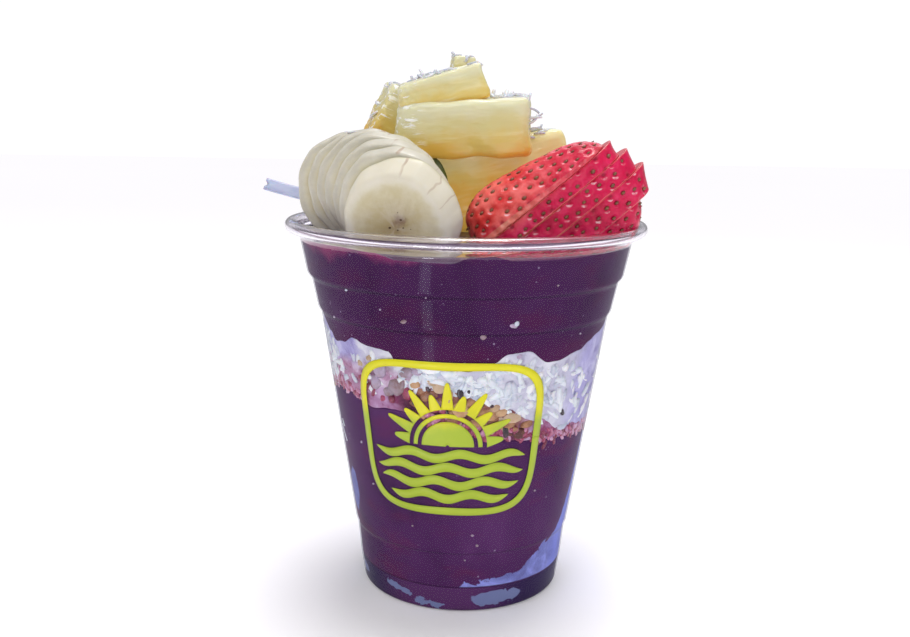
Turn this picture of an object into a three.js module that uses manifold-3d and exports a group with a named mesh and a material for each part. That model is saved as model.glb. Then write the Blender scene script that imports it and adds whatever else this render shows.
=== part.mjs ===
// Acai bowl in a clear plastic cup: layered acai, granola and milk powder with coconut,
// topped with banana slices, a fanned strawberry, pineapple chunks and coconut.
// Millimetres, +Z up, origin at the centre of the cup's base; the front faces -Y.
import * as THREE from 'three';
import { mergeVertices } from 'three/addons/utils/BufferGeometryUtils.js';
import Module from 'manifold-3d';

const wasm = await Module();
wasm.setup();

// ---------------------------------------------------------------- driving dimensions
const LIP_DIAMETER = 96.4;
const CUP_HEIGHT = 100.5;
const LIP_ROLL_RADIUS = 1.6;
const WALL = 0.7;
const FLOOR = 0.8;
const GAP = 0.3;
const CUP_SEGMENTS = 40;

const BASE_RADIUS = 27.4;
const BASE_ROUNDING = 1.2;
const SHOULDER = { radius: 28.3, height: 7.1 };
const RIDGE = { radius: 29.5, height: 17.7 };
const LOWER_STEP = { radius: 38.85, height: 76, jog: 0.85, rise: 1.3 };
const UPPER_STEP = { radius: 41.3, height: 85.1, jog: 1.2, rise: 1.4 };
const COLLAR = { radius: 44.2, height: 95.2 };
const LIP_RADIUS = LIP_DIAMETER / 2;
const LIP_CENTRE = { radius: LIP_RADIUS - LIP_ROLL_RADIUS, height: CUP_HEIGHT - LIP_ROLL_RADIUS };

// Heights of each boundary between two layers at the wall, every 30 degrees round the cup,
// from the back (-180) through the left (-90), the front (0) and the right (90).
const ACAI_BOTTOM_TOP = [49.5, 51, 53.5, 55, 56, 56.5, 52, 48, 46.3, 46, 46.5, 47.5];
const GRANOLA_TOP = [54, 55, 55.5, 56.5, 57.6, 58.4, 58.2, 52.6, 49.3, 48.5, 50, 52];
const MILK_TOP = [71, 70, 72, 74, 71.5, 69.5, 67.5, 70.5, 72, 73, 71, 72];
const ACAI_TOP = [94, 94.4, 95.8, 97.4, 96.4, 94.4, 94.2, 94.4, 94.6, 94.6, 94.2, 94];
const ACAI_MOUND = 2;

const BANANA = { radius: 14.6, frontThickness: 4.6, thickness: 3.8, rounding: 0.9, count: 7 };
const STRAWBERRY = { length: 42, depth: 20, slices: [10.5, 4.1, 5.3, 6.4, 8.7] };
const STRAWBERRY_WIDTH = STRAWBERRY.slices.reduce((sum, slice) => sum + slice, 0);
const SHRED = { width: 1.3, thickness: 0.7 };

// ---------------------------------------------------------------- materials
const finish = (color, roughness, metalness = 0) =>
  new THREE.MeshStandardMaterial({ color, roughness, metalness });
const clearPlastic = finish('#e9ebf2', 0.08);
clearPlastic.transparent = true;
clearPlastic.opacity = 0.35;
const acaiFinish = finish('#48284e', 0.55);
const granolaFinish = finish('#8c6648', 0.8);
const milkFinish = finish('#cfc6dc', 0.7);
const bananaFinish = finish('#ddd6bd', 0.5);
const strawberryFinish = finish('#c8284a', 0.35);
const pineappleFinish = finish('#d8cc86', 0.35);
const leafFinish = finish('#4d5a26', 0.5);
const coconutFinish = finish('#dfe3f2', 0.6);

// ---------------------------------------------------------------- solids
const rad = THREE.MathUtils.degToRad;

function solidFrom(geometry, frame) {
  const bare = geometry.clone();
  bare.deleteAttribute('normal');
  bare.deleteAttribute('uv');
  const merged = mergeVertices(bare, 1e-4);
  if (frame) merged.applyMatrix4(frame);
  const index = merged.index.array;
  const triangles = [];
  for (let i = 0; i < index.length; i += 3) {
    const [a, b, c] = [index[i], index[i + 1], index[i + 2]];
    if (a !== b && b !== c && c !== a) triangles.push(a, b, c);
  }
  const build = (order) => new wasm.Manifold(new wasm.Mesh({
    numProp: 3,
    vertProperties: Float32Array.from(merged.attributes.position.array),
    triVerts: Uint32Array.from(order),
  }));
  const solid = build(triangles);
  if (solid.volume() > 0) return solid;
  for (let i = 0; i < triangles.length; i += 3) {
    [triangles[i + 1], triangles[i + 2]] = [triangles[i + 2], triangles[i + 1]];
  }
  return build(triangles);
}

function geometryFrom(solid, frame) {
  const mesh = solid.getMesh();
  const geometry = new THREE.BufferGeometry();
  geometry.setAttribute('position', new THREE.BufferAttribute(mesh.vertProperties, 3));
  geometry.setIndex(new THREE.BufferAttribute(mesh.triVerts, 1));
  geometry.applyMatrix4(frame.clone().invert());
  geometry.computeVertexNormals();
  return geometry;
}

function largestBody(solid) {
  const bodies = solid.decompose();
  return bodies.reduce((best, body) => (body.volume() > best.volume() ? body : best));
}

function frameAt(position, degrees = [0, 0, 0], order = 'XYZ') {
  const turn = new THREE.Euler(...degrees.map(rad), order);
  const quaternion = new THREE.Quaternion().setFromEuler(turn);
  return new THREE.Matrix4().compose(
    new THREE.Vector3(...position), quaternion, new THREE.Vector3(1, 1, 1));
}

function reshape(geometry, move) {
  const position = geometry.attributes.position;
  const point = new THREE.Vector3();
  for (let i = 0; i < position.count; i += 1) {
    point.fromBufferAttribute(position, i);
    move(point);
    position.setXYZ(i, point.x, point.y, point.z);
  }
  return geometry;
}

// A profile of [radius, height] pairs turned round Z.
function turned(profile, segments) {
  const points = profile.map(([radius, height]) => new THREE.Vector2(radius, height));
  return new THREE.LatheGeometry(points, segments).rotateX(Math.PI / 2);
}

// ---------------------------------------------------------------- cup
// The outer wall from the base to just under the lip; inset moves it inwards.
function wallProfile(inset) {
  const { radius: lowerRadius, height: lowerHeight, jog: lowerJog, rise: lowerRise } = LOWER_STEP;
  const { radius: upperRadius, height: upperHeight, jog: upperJog, rise: upperRise } = UPPER_STEP;
  return [
    [SHOULDER.radius, SHOULDER.height],
    [RIDGE.radius - 0.3, RIDGE.height - 0.8],
    [RIDGE.radius, RIDGE.height],
    [lowerRadius, lowerHeight],
    [lowerRadius + lowerJog, lowerHeight + lowerRise],
    [upperRadius, upperHeight],
    [upperRadius + upperJog, upperHeight + upperRise],
    [COLLAR.radius, COLLAR.height],
  ].map(([radius, height]) => [radius - inset, height]);
}

function lipProfile(margin) {
  const points = [];
  const start = rad(-125);
  const end = rad(180);
  const steps = 8;
  const radius = LIP_ROLL_RADIUS + margin;
  for (let i = 0; i <= steps; i += 1) {
    const angle = start + ((end - start) * i) / steps;
    points.push([
      LIP_CENTRE.radius + radius * Math.cos(angle),
      LIP_CENTRE.height + radius * Math.sin(angle),
    ]);
  }
  return points;
}

function cup(margin) {
  const inset = WALL + margin;
  const outer = BASE_RADIUS + margin;
  return turned([
    [0, -margin],
    [outer - BASE_ROUNDING, -margin],
    [outer - BASE_ROUNDING * 0.3, BASE_ROUNDING * 0.3 - margin],
    [outer, BASE_ROUNDING],
    ...wallProfile(-margin),
    ...lipProfile(margin),
    ...wallProfile(inset).reverse(),
    [BASE_RADIUS - inset, FLOOR + BASE_ROUNDING],
    [BASE_RADIUS - inset - BASE_ROUNDING, FLOOR + margin],
    [0, FLOOR + margin],
  ], CUP_SEGMENTS);
}

// ---------------------------------------------------------------- contents
function contentsEnvelope() {
  const inset = WALL + GAP;
  return turned([
    [0, FLOOR + GAP],
    [BASE_RADIUS - inset - BASE_ROUNDING, FLOOR + GAP],
    [BASE_RADIUS - inset, FLOOR + GAP + BASE_ROUNDING],
    ...wallProfile(inset),
    [COLLAR.radius - inset, CUP_HEIGHT],
    [0, CUP_HEIGHT],
  ], CUP_SEGMENTS);
}

// A height all round the cup, smooth between the listed ones and level towards the axis.
function surface(heights, mound = 0) {
  const step = (2 * Math.PI) / heights.length;
  const mean = heights.reduce((sum, height) => sum + height, 0) / heights.length;
  return (x, y) => {
    const turn = (Math.atan2(x, -y) + Math.PI) / step;
    const before = Math.floor(turn);
    const blend = (1 - Math.cos(Math.PI * (turn - before))) / 2;
    const low = heights[before % heights.length];
    const high = heights[(before + 1) % heights.length];
    const reach = Math.min(Math.hypot(x, y) / LIP_RADIUS, 1);
    return mean + mound * (1 - reach ** 2) + ((low + (high - low) * blend) - mean) * reach;
  };
}

const shifted = (heights, distance) => heights.map((height) => height + distance);

function layer(envelope, bottom, top) {
  const rings = [0, 0.4, 0.75, 1];
  const profile = [
    ...rings.map((ring) => [ring * LIP_RADIUS, 0]),
    ...rings.toReversed().map((ring) => [ring * LIP_RADIUS, 1]),
  ];
  const slab = reshape(turned(profile, CUP_SEGMENTS), (point) => {
    point.z = (point.z > 0.5 ? top : bottom)(point.x, point.y);
  });
  return envelope.intersect(solidFrom(slab));
}

// ---------------------------------------------------------------- toppings
// Each topping has a frame and a builder; the builder's margin grows it on every side,
// for the clear space that its neighbours keep.
// The banana slices fan back and to the left, the front one leaning on the rim.
const BANANA_FAN = {
  front: [-15.4, -29.5, 103],
  left: 9.6,
  leftGrowth: 6,
  back: 30.5,
  rise: 17,
  fall: 11.5,
  lean: [12, -3],
  turn: [-15, -8],
};

function bananaSlice(index) {
  const { radius, rounding, count } = BANANA;
  const { front, left, leftGrowth, back, rise, fall, lean, turn } = BANANA_FAN;
  const place = index / (count - 1);
  const thickness = index === 0 ? BANANA.frontThickness : BANANA.thickness;
  const mix = ([from, to]) => from + (to - from) * place;
  const position = [
    front[0] - left * place - leftGrowth * place ** 2,
    front[1] + back * place,
    front[2] + rise * place - fall * place ** 2,
  ];
  return {
    name: `banana_${index + 1}`,
    finish: bananaFinish,
    frame: frameAt(position, [90 + mix(lean), 0, mix(turn)], 'ZYX'),
    build(margin) {
      const half = thickness / 2 + margin;
      const outer = radius * (1 - 0.008 * (index % 3)) + margin;
      const disc = turned([
        [0, -half],
        [outer - rounding, -half],
        [outer - rounding * 0.3, -half + rounding * 0.3],
        [outer, -half + rounding],
        [outer, half - rounding],
        [outer - rounding * 0.3, half - rounding * 0.3],
        [outer - rounding, half],
        [0, half],
      ], 20);
      return reshape(disc, (point) => {
        const around = Math.atan2(point.y, point.x);
        const uneven = 1 + 0.012 * Math.cos(5 * around + index);
        point.x *= uneven;
        point.y *= uneven;
      });
    },
  };
}

// The berry lies along its own X axis, broad at the calyx end and blunt at the tip.
function berry(margin) {
  const rows = 10;
  const profile = [];
  for (let i = 0; i <= rows; i += 1) {
    const along = -Math.cos((Math.PI * i) / rows);
    const round = Math.max(0, 1 - Math.abs(along) ** 4) ** 0.42;
    const taper = 1 - 0.09 * along;
    profile.push(new THREE.Vector2(
      round * taper * (STRAWBERRY_WIDTH / 2 + margin),
      along * (STRAWBERRY.length / 2 + margin)));
  }
  const body = new THREE.LatheGeometry(profile, 20).rotateY(rad(5)).rotateZ(-Math.PI / 2);
  return body.scale(1, STRAWBERRY.depth / STRAWBERRY_WIDTH, 1);
}

// Cut lengthwise and fanned: the slices slide towards the tip and step back to the right.
const STRAWBERRY_FAN = {
  centre: [22.6, -18.5, 102.2],
  lean: 40,
  slides: [0, 0.8, 2.2, 3.2, 0.4],
  back: 0.8,
  gap: GAP + 0.06,
};

function strawberrySlice(index) {
  const { length, depth, slices } = STRAWBERRY;
  const { centre, lean, slides, back, gap } = STRAWBERRY_FAN;
  const cutAway = slices.slice(0, index).reduce((sum, slice) => sum + slice, 0);
  const position = [
    centre[0] + Math.cos(rad(lean)) * slides[index],
    centre[1] + back * index,
    centre[2] + Math.sin(rad(lean)) * slides[index],
  ];
  return {
    name: `strawberry_${index + 1}`,
    finish: strawberryFinish,
    frame: frameAt(position, [0, -lean, 0]),
    build(margin) {
      const upper = STRAWBERRY_WIDTH / 2 - cutAway + margin;
      const lower = upper - slices[index] + gap - 2 * margin;
      const slab = new THREE.BoxGeometry(length * 2, depth * 2, upper - lower);
      slab.translate(0, 0, (upper + lower) / 2);
      const cut = solidFrom(berry(margin)).intersect(solidFrom(slab));
      return geometryFrom(cut, new THREE.Matrix4());
    },
  };
}

// Chunks cut from a pineapple ring: rounded blocks, one end narrower, faces slightly uneven.
const PINEAPPLE = [
  { part: 'low', at: [9.5, 6, 109.4], size: [36, 22, 23], turn: [0, -12, 4], taper: 0.1 },
  { part: 'base', at: [-17, 14, 105.5], size: [22, 19, 21], turn: [0, 4, -12], taper: -0.1 },
  { part: 'middle', at: [-0.8, -1.2, 124.4], size: [34.5, 24, 15], turn: [3, -3, -4], taper: 0.06 },
  { part: 'left', at: [-18.6, 12, 125.6], size: [15, 14, 17], turn: [0, 24, 14], taper: -0.1 },
  { part: 'top', at: [-6.8, -3, 133.8], size: [22.5, 15, 9.2], turn: [4, -15, 5], taper: 0.12 },
  { part: 'tip', at: [-1.8, 9, 137.2], size: [6.4, 7, 12], turn: [-6, 3, 10], taper: 0 },
];

function roundedBlock([width, depth, height], margin, taper) {
  const block = new THREE.BoxGeometry(2, 2, 2, 6, 5, 4);
  const boxiness = 8;
  const unevenness = 0.02;
  const towardsEdge = (value) => Math.sign(value) * Math.abs(value) ** 0.62;
  return reshape(block, (point) => {
    const [u, v, w] = [towardsEdge(point.x), towardsEdge(point.y), towardsEdge(point.z)];
    const roundness = [u, v, w].reduce((sum, side) => sum + Math.abs(side) ** boxiness, 0)
      ** (1 / boxiness);
    const uneven = 1 + unevenness * (Math.sin(4 * u + 3 * w) + Math.cos(5 * v - 2 * u));
    const scale = uneven / roundness;
    point.set(
      u * scale * (width / 2 + margin),
      v * scale * (depth / 2 + margin) * (1 + taper * u),
      w * scale * (height / 2 + margin) * (1 + 0.6 * taper * u));
  });
}

function pineappleChunk({ part, at, size, turn, taper }) {
  return {
    name: `pineapple_${part}`,
    finish: pineappleFinish,
    frame: frameAt(at, turn),
    build: (margin) => roundedBlock(size, margin, taper),
  };
}

// A thin wavy leaf, standing on edge between the banana and the pineapple.
function leaf() {
  return {
    name: 'green_leaf',
    finish: leafFinish,
    frame: frameAt([-10.6, -10.6, 109.5], [78, 24, 0]),
    build(margin) {
      const [halfWidth, halfLength, halfThickness] = [3.9 + margin, 6.4 + margin, 0.45 + margin];
      return reshape(new THREE.BoxGeometry(2, 2, 2, 4, 8, 1), (point) => {
        const outline = Math.max(0.16, Math.sqrt(1 - (point.y * 0.97) ** 2));
        const rise = 0.5 * Math.cos(point.y * 4) + 0.7 * Math.abs(point.x);
        point.set(
          point.x * halfWidth * outline,
          point.y * halfLength,
          point.z * halfThickness + rise);
      });
    },
  };
}

// A broad flake of coconut that leans out over the rim, with a nick in its end.
function coconutFlake() {
  return {
    name: 'coconut_flake',
    finish: coconutFinish,
    frame: frameAt([-43.6, 15.6, 104.4], [62, 15, 0], 'ZYX'),
    build(margin) {
      const [halfLength, halfWidth, halfThickness] = [14 + margin, 1.75 + margin, 0.45 + margin];
      return reshape(new THREE.BoxGeometry(2, 2, 2, 8, 2, 1), (point) => {
        const tip = point.x < -0.99;
        const nick = tip && Math.abs(point.y) < 0.1 ? 0.9 : 0;
        const curl = 0.6 * Math.sin(point.x * 2.2);
        point.set(
          point.x * halfLength + nick,
          point.y * halfWidth,
          point.z * halfThickness + curl);
      });
    },
  };
}

// Coconut shreds fused to the toppings they lie on: the carrier's name, where the shred
// starts, its heading and rise in degrees, its length, and how much it curls.
const SHREDS = [
  { on: 'pineapple_tip', from: [-2.4, 8, 142], heading: 200, rise: 30, length: 3.2, curl: 30 },
  { on: 'pineapple_tip', from: [-0.8, 8, 142], heading: -8, rise: 12, length: 5, curl: -60 },
  { on: 'pineapple_top', from: [-9.4, -4, 136], heading: 170, rise: 30, length: 4.6, curl: 25 },
  { on: 'pineapple_top', from: [-7, -3, 136.6], heading: 120, rise: 38, length: 4.4, curl: -30 },
  { on: 'pineapple_top', from: [2.6, -3, 135], heading: -10, rise: -38, length: 7, curl: 10 },
  { on: 'pineapple_left', from: [-17.4, 10, 133.2], heading: 190, rise: 12, length: 6, curl: 20 },
  { on: 'pineapple_middle', from: [8, 1, 131.2], heading: 20, rise: 24, length: 5, curl: 20 },
  { on: 'pineapple_middle', from: [14, -2, 128], heading: 5, rise: 58, length: 6, curl: 20 },
  { on: 'pineapple_middle', from: [14.4, -4, 126.4], heading: -10, rise: 20, length: 5, curl: -20 },
  { on: 'pineapple_low', from: [20.4, 4, 119.4], heading: 170, rise: 62, length: 6.4, curl: 50 },
  { on: 'pineapple_low', from: [19, 8, 120], heading: 190, rise: 14, length: 6, curl: 20 },
  { on: 'banana_6', from: [-33.6, -6, 118.4], heading: 20, rise: 46, length: 4.6, curl: -40 },
];

function shred({ from, heading, rise, length, curl }) {
  const steps = 4;
  const point = new THREE.Vector3(...from);
  const points = [point.clone()];
  for (let i = 0; i < steps; i += 1) {
    const bend = rad(rise + (curl * i) / steps);
    const direction = new THREE.Vector3(
      Math.cos(bend) * Math.cos(rad(heading)),
      Math.cos(bend) * Math.sin(rad(heading)),
      Math.sin(bend));
    point.addScaledVector(direction, length / steps);
    points.push(point.clone());
  }
  const [halfWidth, halfThickness] = [SHRED.width / 2, SHRED.thickness / 2];
  const section = new THREE.Shape();
  section.moveTo(-halfWidth, -halfThickness);
  section.lineTo(halfWidth, -halfThickness);
  section.lineTo(halfWidth, halfThickness);
  section.lineTo(-halfWidth, halfThickness);
  return new THREE.ExtrudeGeometry(section, {
    extrudePath: new THREE.CatmullRomCurve3(points),
    steps,
  });
}

// ---------------------------------------------------------------- assembly
function overlaps(a, b) {
  const [first, second] = [a.boundingBox(), b.boundingBox()];
  return first.min.every((low, axis) => low <= second.max[axis])
    && second.min.every((low, axis) => low <= first.max[axis]);
}

function clearOf(solid, others) {
  const near = others.filter((other) => overlaps(solid, other));
  return largestBody(near.reduce((rest, other) => rest.subtract(other), solid));
}

const bowl = new THREE.Group();
bowl.name = 'acai_bowl';

function add(name, solid, material, frame = new THREE.Matrix4()) {
  const mesh = new THREE.Mesh(geometryFrom(solid, frame), material);
  mesh.name = name;
  frame.decompose(mesh.position, mesh.quaternion, mesh.scale);
  bowl.add(mesh);
}

const toppings = [
  ...Array.from({ length: BANANA.count }, (_, index) => bananaSlice(index)),
  ...Array.from({ length: STRAWBERRY.slices.length }, (_, index) => strawberrySlice(index)),
  ...PINEAPPLE.map(pineappleChunk),
  leaf(),
  coconutFlake(),
];

const grownCup = solidFrom(cup(GAP));
const grown = toppings.map((topping) => solidFrom(topping.build(GAP), topping.frame));
toppings.forEach((topping, place) => {
  const placed = [grownCup, ...grown.slice(0, place)];
  const bare = clearOf(solidFrom(topping.build(0), topping.frame), placed);
  const others = [grownCup, ...grown.filter((_, other) => other !== place)];
  const dressed = SHREDS.filter(({ on }) => on === topping.name)
    .reduce((rest, each) => rest.add(clearOf(solidFrom(shred(each)), others)), bare);
  add(topping.name, largestBody(dressed), topping.finish, topping.frame);
});

const envelope = solidFrom(contentsEnvelope());
const base = () => 0;
const half = GAP / 2;
add('cup', solidFrom(cup(0)), clearPlastic);
add('acai_bottom', layer(envelope, base, surface(shifted(ACAI_BOTTOM_TOP, -half))), acaiFinish);
add('granola_layer', layer(
  envelope,
  surface(shifted(ACAI_BOTTOM_TOP, half)),
  surface(shifted(GRANOLA_TOP, -half))), granolaFinish);
add('milk_coconut_layer', layer(
  envelope,
  surface(shifted(GRANOLA_TOP, half)),
  surface(shifted(MILK_TOP, -half))), milkFinish);
add('acai_top', clearOf(layer(
  envelope,
  surface(shifted(MILK_TOP, half)),
  surface(ACAI_TOP, ACAI_MOUND)), grown), acaiFinish);

export default bowl;
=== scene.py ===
# The looks of the acai bowl: a clear cup of layered acai, granola and milk powder, topped with
# banana, strawberry, pineapple and coconut. Metres, +Z up, the front faces -Y.
import bisect
import math
import random

import bmesh
import bpy
from mathutils import Euler, Matrix, Vector, noise
from mathutils.bvhtree import BVHTree
from mathutils.kdtree import KDTree


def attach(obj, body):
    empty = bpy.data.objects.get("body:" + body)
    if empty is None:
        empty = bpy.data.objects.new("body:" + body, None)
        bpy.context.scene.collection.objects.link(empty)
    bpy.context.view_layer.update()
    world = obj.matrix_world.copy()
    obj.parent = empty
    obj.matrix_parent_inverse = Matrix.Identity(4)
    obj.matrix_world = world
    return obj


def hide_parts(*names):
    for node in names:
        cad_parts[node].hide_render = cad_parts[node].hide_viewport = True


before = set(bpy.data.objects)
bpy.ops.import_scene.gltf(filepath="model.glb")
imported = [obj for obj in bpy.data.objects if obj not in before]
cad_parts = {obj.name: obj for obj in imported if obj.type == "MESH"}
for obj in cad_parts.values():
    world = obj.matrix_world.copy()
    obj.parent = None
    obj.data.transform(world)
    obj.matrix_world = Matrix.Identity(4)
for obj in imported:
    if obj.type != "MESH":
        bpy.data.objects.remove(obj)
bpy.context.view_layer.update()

MM = 0.001

# ---------------------------------------------------------------- driving dimensions
LIP_RADIUS = 48.2 * MM
CUP_HEIGHT = 100.5 * MM
LIP_ROLL = 1.6 * MM
WALL = 0.7 * MM
FLOOR = 0.8 * MM
BASE_RADIUS = 27.4 * MM
BASE_ROUNDING = 1.2 * MM
LIP_CENTRE = (LIP_RADIUS - LIP_ROLL, CUP_HEIGHT - LIP_ROLL)
# Radius and height of the outer wall from the shoulder over the foot to the collar, in mm.
OUTER_WALL = [
    (28.3, 7.1), (28.9, 13.2), (29.25, 16.6), (29.75, 17.5), (38.85, 76), (39.7, 77.3),
    (41.3, 85.1), (42.5, 86.5), (44.2, 95.2),
]
SHOULDER_HEIGHT = 7.1 * MM
CORNER = 0.55 * MM
COLLAR_BOTTOM = 95 * MM
LIP_SHEET = 0.5 * MM            # thickness of the sheet that is rolled into the lip
SKIN_DEPTH = 0.32 * MM          # how far inside the outer wall the contents show
ROUND_STEPS = 192               # faces round the cup

# Heights in mm of the layers where they meet the wall, by angle in degrees from the front.
BAND_TOP = [
    (-180, 71), (-150, 70), (-120, 72), (-90, 75.6), (-75, 75.2), (-65, 72.4), (-61, 70.3),
    (-54, 70.8), (-47, 72.7), (-41, 71.7), (-34, 71.1), (-29, 70.9), (-26, 68.5), (-12, 67.9),
    (2, 67.3), (10, 69.1), (17, 71.4), (25, 71.8), (33, 68.7), (39, 68.7), (50, 70.2),
    (57, 71.8), (66, 73.3), (80, 75), (90, 73), (120, 72), (150, 72),
]
GRANOLA_TOP = [
    (-180, 54), (-150, 55), (-120, 55.5), (-90, 56.5), (-59, 57.6), (-41, 59.4), (-25, 62.4),
    (-9, 63.2), (2, 60.6), (16, 57.2), (27, 54.2), (46, 50.5), (73, 48.2), (90, 48.5), (120, 50),
    (150, 52),
]
BAND_BOTTOM = [
    (-180, 49.5), (-150, 51), (-120, 53.5), (-90, 55), (-64, 57.7), (-54, 57.3), (-40, 55.4),
    (-25, 55.7), (-13, 53.3), (-1, 51.1), (16, 49.1), (35, 47.7), (47, 47), (67, 45.9),
    (90, 46), (120, 46.5), (150, 47.5),
]
ACAI_TOP = [
    (-180, 94), (-150, 94.4), (-120, 95.8), (-90, 97.2), (-60, 97.2), (-44, 96.8), (-30, 95.9),
    (-21, 94.3), (-4, 94.1), (2, 95.6), (8, 96), (15, 94.8), (30, 94.7), (48, 95), (60, 95.8),
    (90, 95), (120, 94.2), (150, 94),
]
ACAI_MOUND = 2 * MM

BANANA = {"radius": 14.6 * MM, "front": 4.6 * MM, "thickness": 3.8 * MM, "count": 7}
STRAWBERRY_SLICES = [10.5 * MM, 4.1 * MM, 5.3 * MM, 6.4 * MM, 8.7 * MM]
STRAWBERRY_LENGTH = 42 * MM
STRAWBERRY_DEPTH = 20 * MM
STRAWBERRY_WIDTH = sum(STRAWBERRY_SLICES)


# ---------------------------------------------------------------- node helpers
class Signal:
    """A node's output, which works in sums as a number does."""

    def __init__(self, made, output):
        self.tree, self.node, self.socket = made.id_data, made, made.outputs[output]

    def __add__(self, other):
        return maths("ADD", self, other)

    def __sub__(self, other):
        return maths("SUBTRACT", self, other)

    def __rsub__(self, other):
        return maths("SUBTRACT", other, self)

    def __mul__(self, other):
        return maths("MULTIPLY", self, other)

    def __truediv__(self, other):
        return maths("DIVIDE", self, other)

    def __abs__(self):
        return maths("ABSOLUTE", self)


def srgb(code):
    parts = [int(code[i:i + 2], 16) / 255 for i in (1, 3, 5)]
    return (*(c / 12.92 if c <= 0.04045 else ((c + 0.055) / 1.055) ** 2.4 for c in parts), 1.0)


def node(tree, kind, inputs=None, output=0, **settings):
    """A new node's output; its inputs are signals, numbers or colour codes."""
    made = tree.nodes.new(kind)
    for name, value in settings.items():
        setattr(made, name, value)
    for key, value in (inputs or {}).items():
        if isinstance(value, Signal):
            tree.links.new(value.socket, made.inputs[key])
        else:
            made.inputs[key].default_value = srgb(value) if isinstance(value, str) else value
    return Signal(made, output)


def tree_of(*values):
    return next(value.tree for value in values if isinstance(value, Signal))


def maths(operation, first, second=0.0, clamp=False):
    return node(tree_of(first, second), "ShaderNodeMath", {0: first, 1: second},
                operation=operation, use_clamp=clamp)


def highest(first, second):
    return maths("MAXIMUM", first, second)


def centred(pattern, reach):
    """A noise pattern made to swing about 0, by half of reach to either side."""
    return (pattern - 0.5) * reach


def between(value, low, high, to_low=0.0, to_high=1.0, smooth=True):
    """value from low..high onto to_low..to_high, clamped."""
    return node(value.tree, "ShaderNodeMapRange", {
        "Value": value, "From Min": low, "From Max": high, "To Min": to_low, "To Max": to_high,
    }, interpolation_type="SMOOTHSTEP" if smooth else "LINEAR")


def mixed(factor, first, second):
    return node(tree_of(factor, first, second), "ShaderNodeMix", {0: factor, 6: first, 7: second},
                output=2, data_type="RGBA")


def ramp(factor, stops, interpolation="EASE"):
    made = node(factor.tree, "ShaderNodeValToRGB", {"Fac": factor}, "Color")
    elements = made.node.color_ramp.elements
    made.node.color_ramp.interpolation = interpolation
    while len(elements) < len(stops):
        elements.new(0.5)
    for element, (place, code) in zip(elements, stops):
        element.position = place
        element.color = srgb(code)
    return made


def attribute(place, name, output="Fac"):
    return node(place.tree, "ShaderNodeAttribute", output=output, attribute_name=name)


def parts_of(vector):
    split = node(vector.tree, "ShaderNodeSeparateXYZ", {0: vector})
    return [Signal(split.node, axis) for axis in range(3)]


def length_of(vector):
    return node(vector.tree, "ShaderNodeVectorMath", {0: vector}, 1, operation="LENGTH")


def mapped(vector, scale, location=(0, 0, 0), rotation=(0, 0, 0)):
    turned = [math.radians(angle) for angle in rotation]
    return node(vector.tree, "ShaderNodeMapping", {
        "Vector": vector, "Scale": scale, "Location": location, "Rotation": turned})


def noise_at(vector, size, detail=3.0, roughness=0.55, distortion=0.0):
    """Noise whose blobs measure about size metres."""
    return node(vector.tree, "ShaderNodeTexNoise", {
        "Vector": vector, "Scale": 0.5 / size, "Detail": detail, "Roughness": roughness,
        "Distortion": distortion}, "Fac")


def bump(height, distance, strength):
    return node(height.tree, "ShaderNodeBump", {
        "Height": height, "Distance": distance, "Strength": strength})


def material(name, pattern=None):
    """A new material and the place that its patterns follow: an attribute of the mesh, or the
    object's own coordinates."""
    made = bpy.data.materials.new(name)
    made.use_nodes = True
    made.node_tree.nodes.clear()
    if pattern:
        place = node(made.node_tree, "ShaderNodeAttribute", output="Vector", attribute_name=pattern)
    else:
        place = node(made.node_tree, "ShaderNodeTexCoord", output="Object")
    return made, place


def surface(made, shader):
    node_tree = made.node_tree
    output = node_tree.nodes.new("ShaderNodeOutputMaterial")
    node_tree.links.new(shader.socket, output.inputs["Surface"])
    return made


SOCKETS = {
    "colour": "Base Color", "roughness": "Roughness", "normal": "Normal",
    "specular": "Specular IOR Level", "subsurface": "Subsurface Weight",
    "depth": "Subsurface Scale", "radius": "Subsurface Radius", "coat": "Coat Weight",
    "coat_roughness": "Coat Roughness", "glow": "Emission Color",
    "glow_strength": "Emission Strength",
}


def shaded(made, **sockets):
    """The material, finished with a principled shader."""
    inputs = {SOCKETS[key]: value for key, value in sockets.items()}
    return surface(made, node(made.node_tree, "ShaderNodeBsdfPrincipled", inputs))


# ---------------------------------------------------------------- mesh helpers
def mesh_of(name, bm):
    mesh = bpy.data.meshes.new(name)
    bm.to_mesh(mesh)
    bm.free()
    return mesh


def placed(name, data):
    made = bpy.data.objects.new(name, data)
    bpy.context.scene.collection.objects.link(made)
    return made


def finish_piece(name, bm, materials, slot, replaces):
    """Makes the bmesh a piece that rides on the cup's body, with the given materials, and hides the
    parts that it replaces. slot is not used.
    """
    mesh = mesh_of(name, bm)
    for made in materials:
        mesh.materials.append(made)
    mesh.polygons.foreach_set("use_smooth", [True] * len(mesh.polygons))
    piece = placed(name, mesh)
    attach(piece, "root")
    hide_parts(*replaces)
    return piece


def join_into(bm, other, material_index):
    """Adds the faces of other to bm with a material, and frees other."""
    for face in other.faces:
        face.material_index = material_index
    mesh = mesh_of("joined", other)
    bm.from_mesh(mesh)
    bpy.data.meshes.remove(mesh)


def spun(profile, segments):
    """A closed shape: the profile of (radius, height) pairs turned round Z."""
    bm = bmesh.new()
    verts = [bm.verts.new((radius, 0, height)) for radius, height in profile]
    edges = [bm.edges.new(pair) for pair in zip(verts, verts[1:])]
    bmesh.ops.spin(
        bm, geom=verts + edges, cent=(0, 0, 0), axis=(0, 0, 1), angle=math.tau,
        steps=segments, use_merge=True)
    bmesh.ops.remove_doubles(bm, verts=bm.verts, dist=1e-7)
    bmesh.ops.recalc_face_normals(bm, faces=bm.faces)
    return bm


def rotation(angle, axis):
    return Matrix.Rotation(math.radians(angle), 4, axis)


def turned(angles):
    """The turn by angles in degrees about X, Y and Z, Z first."""
    return Euler([math.radians(angle) for angle in angles], "ZYX").to_matrix().to_4x4()


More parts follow.
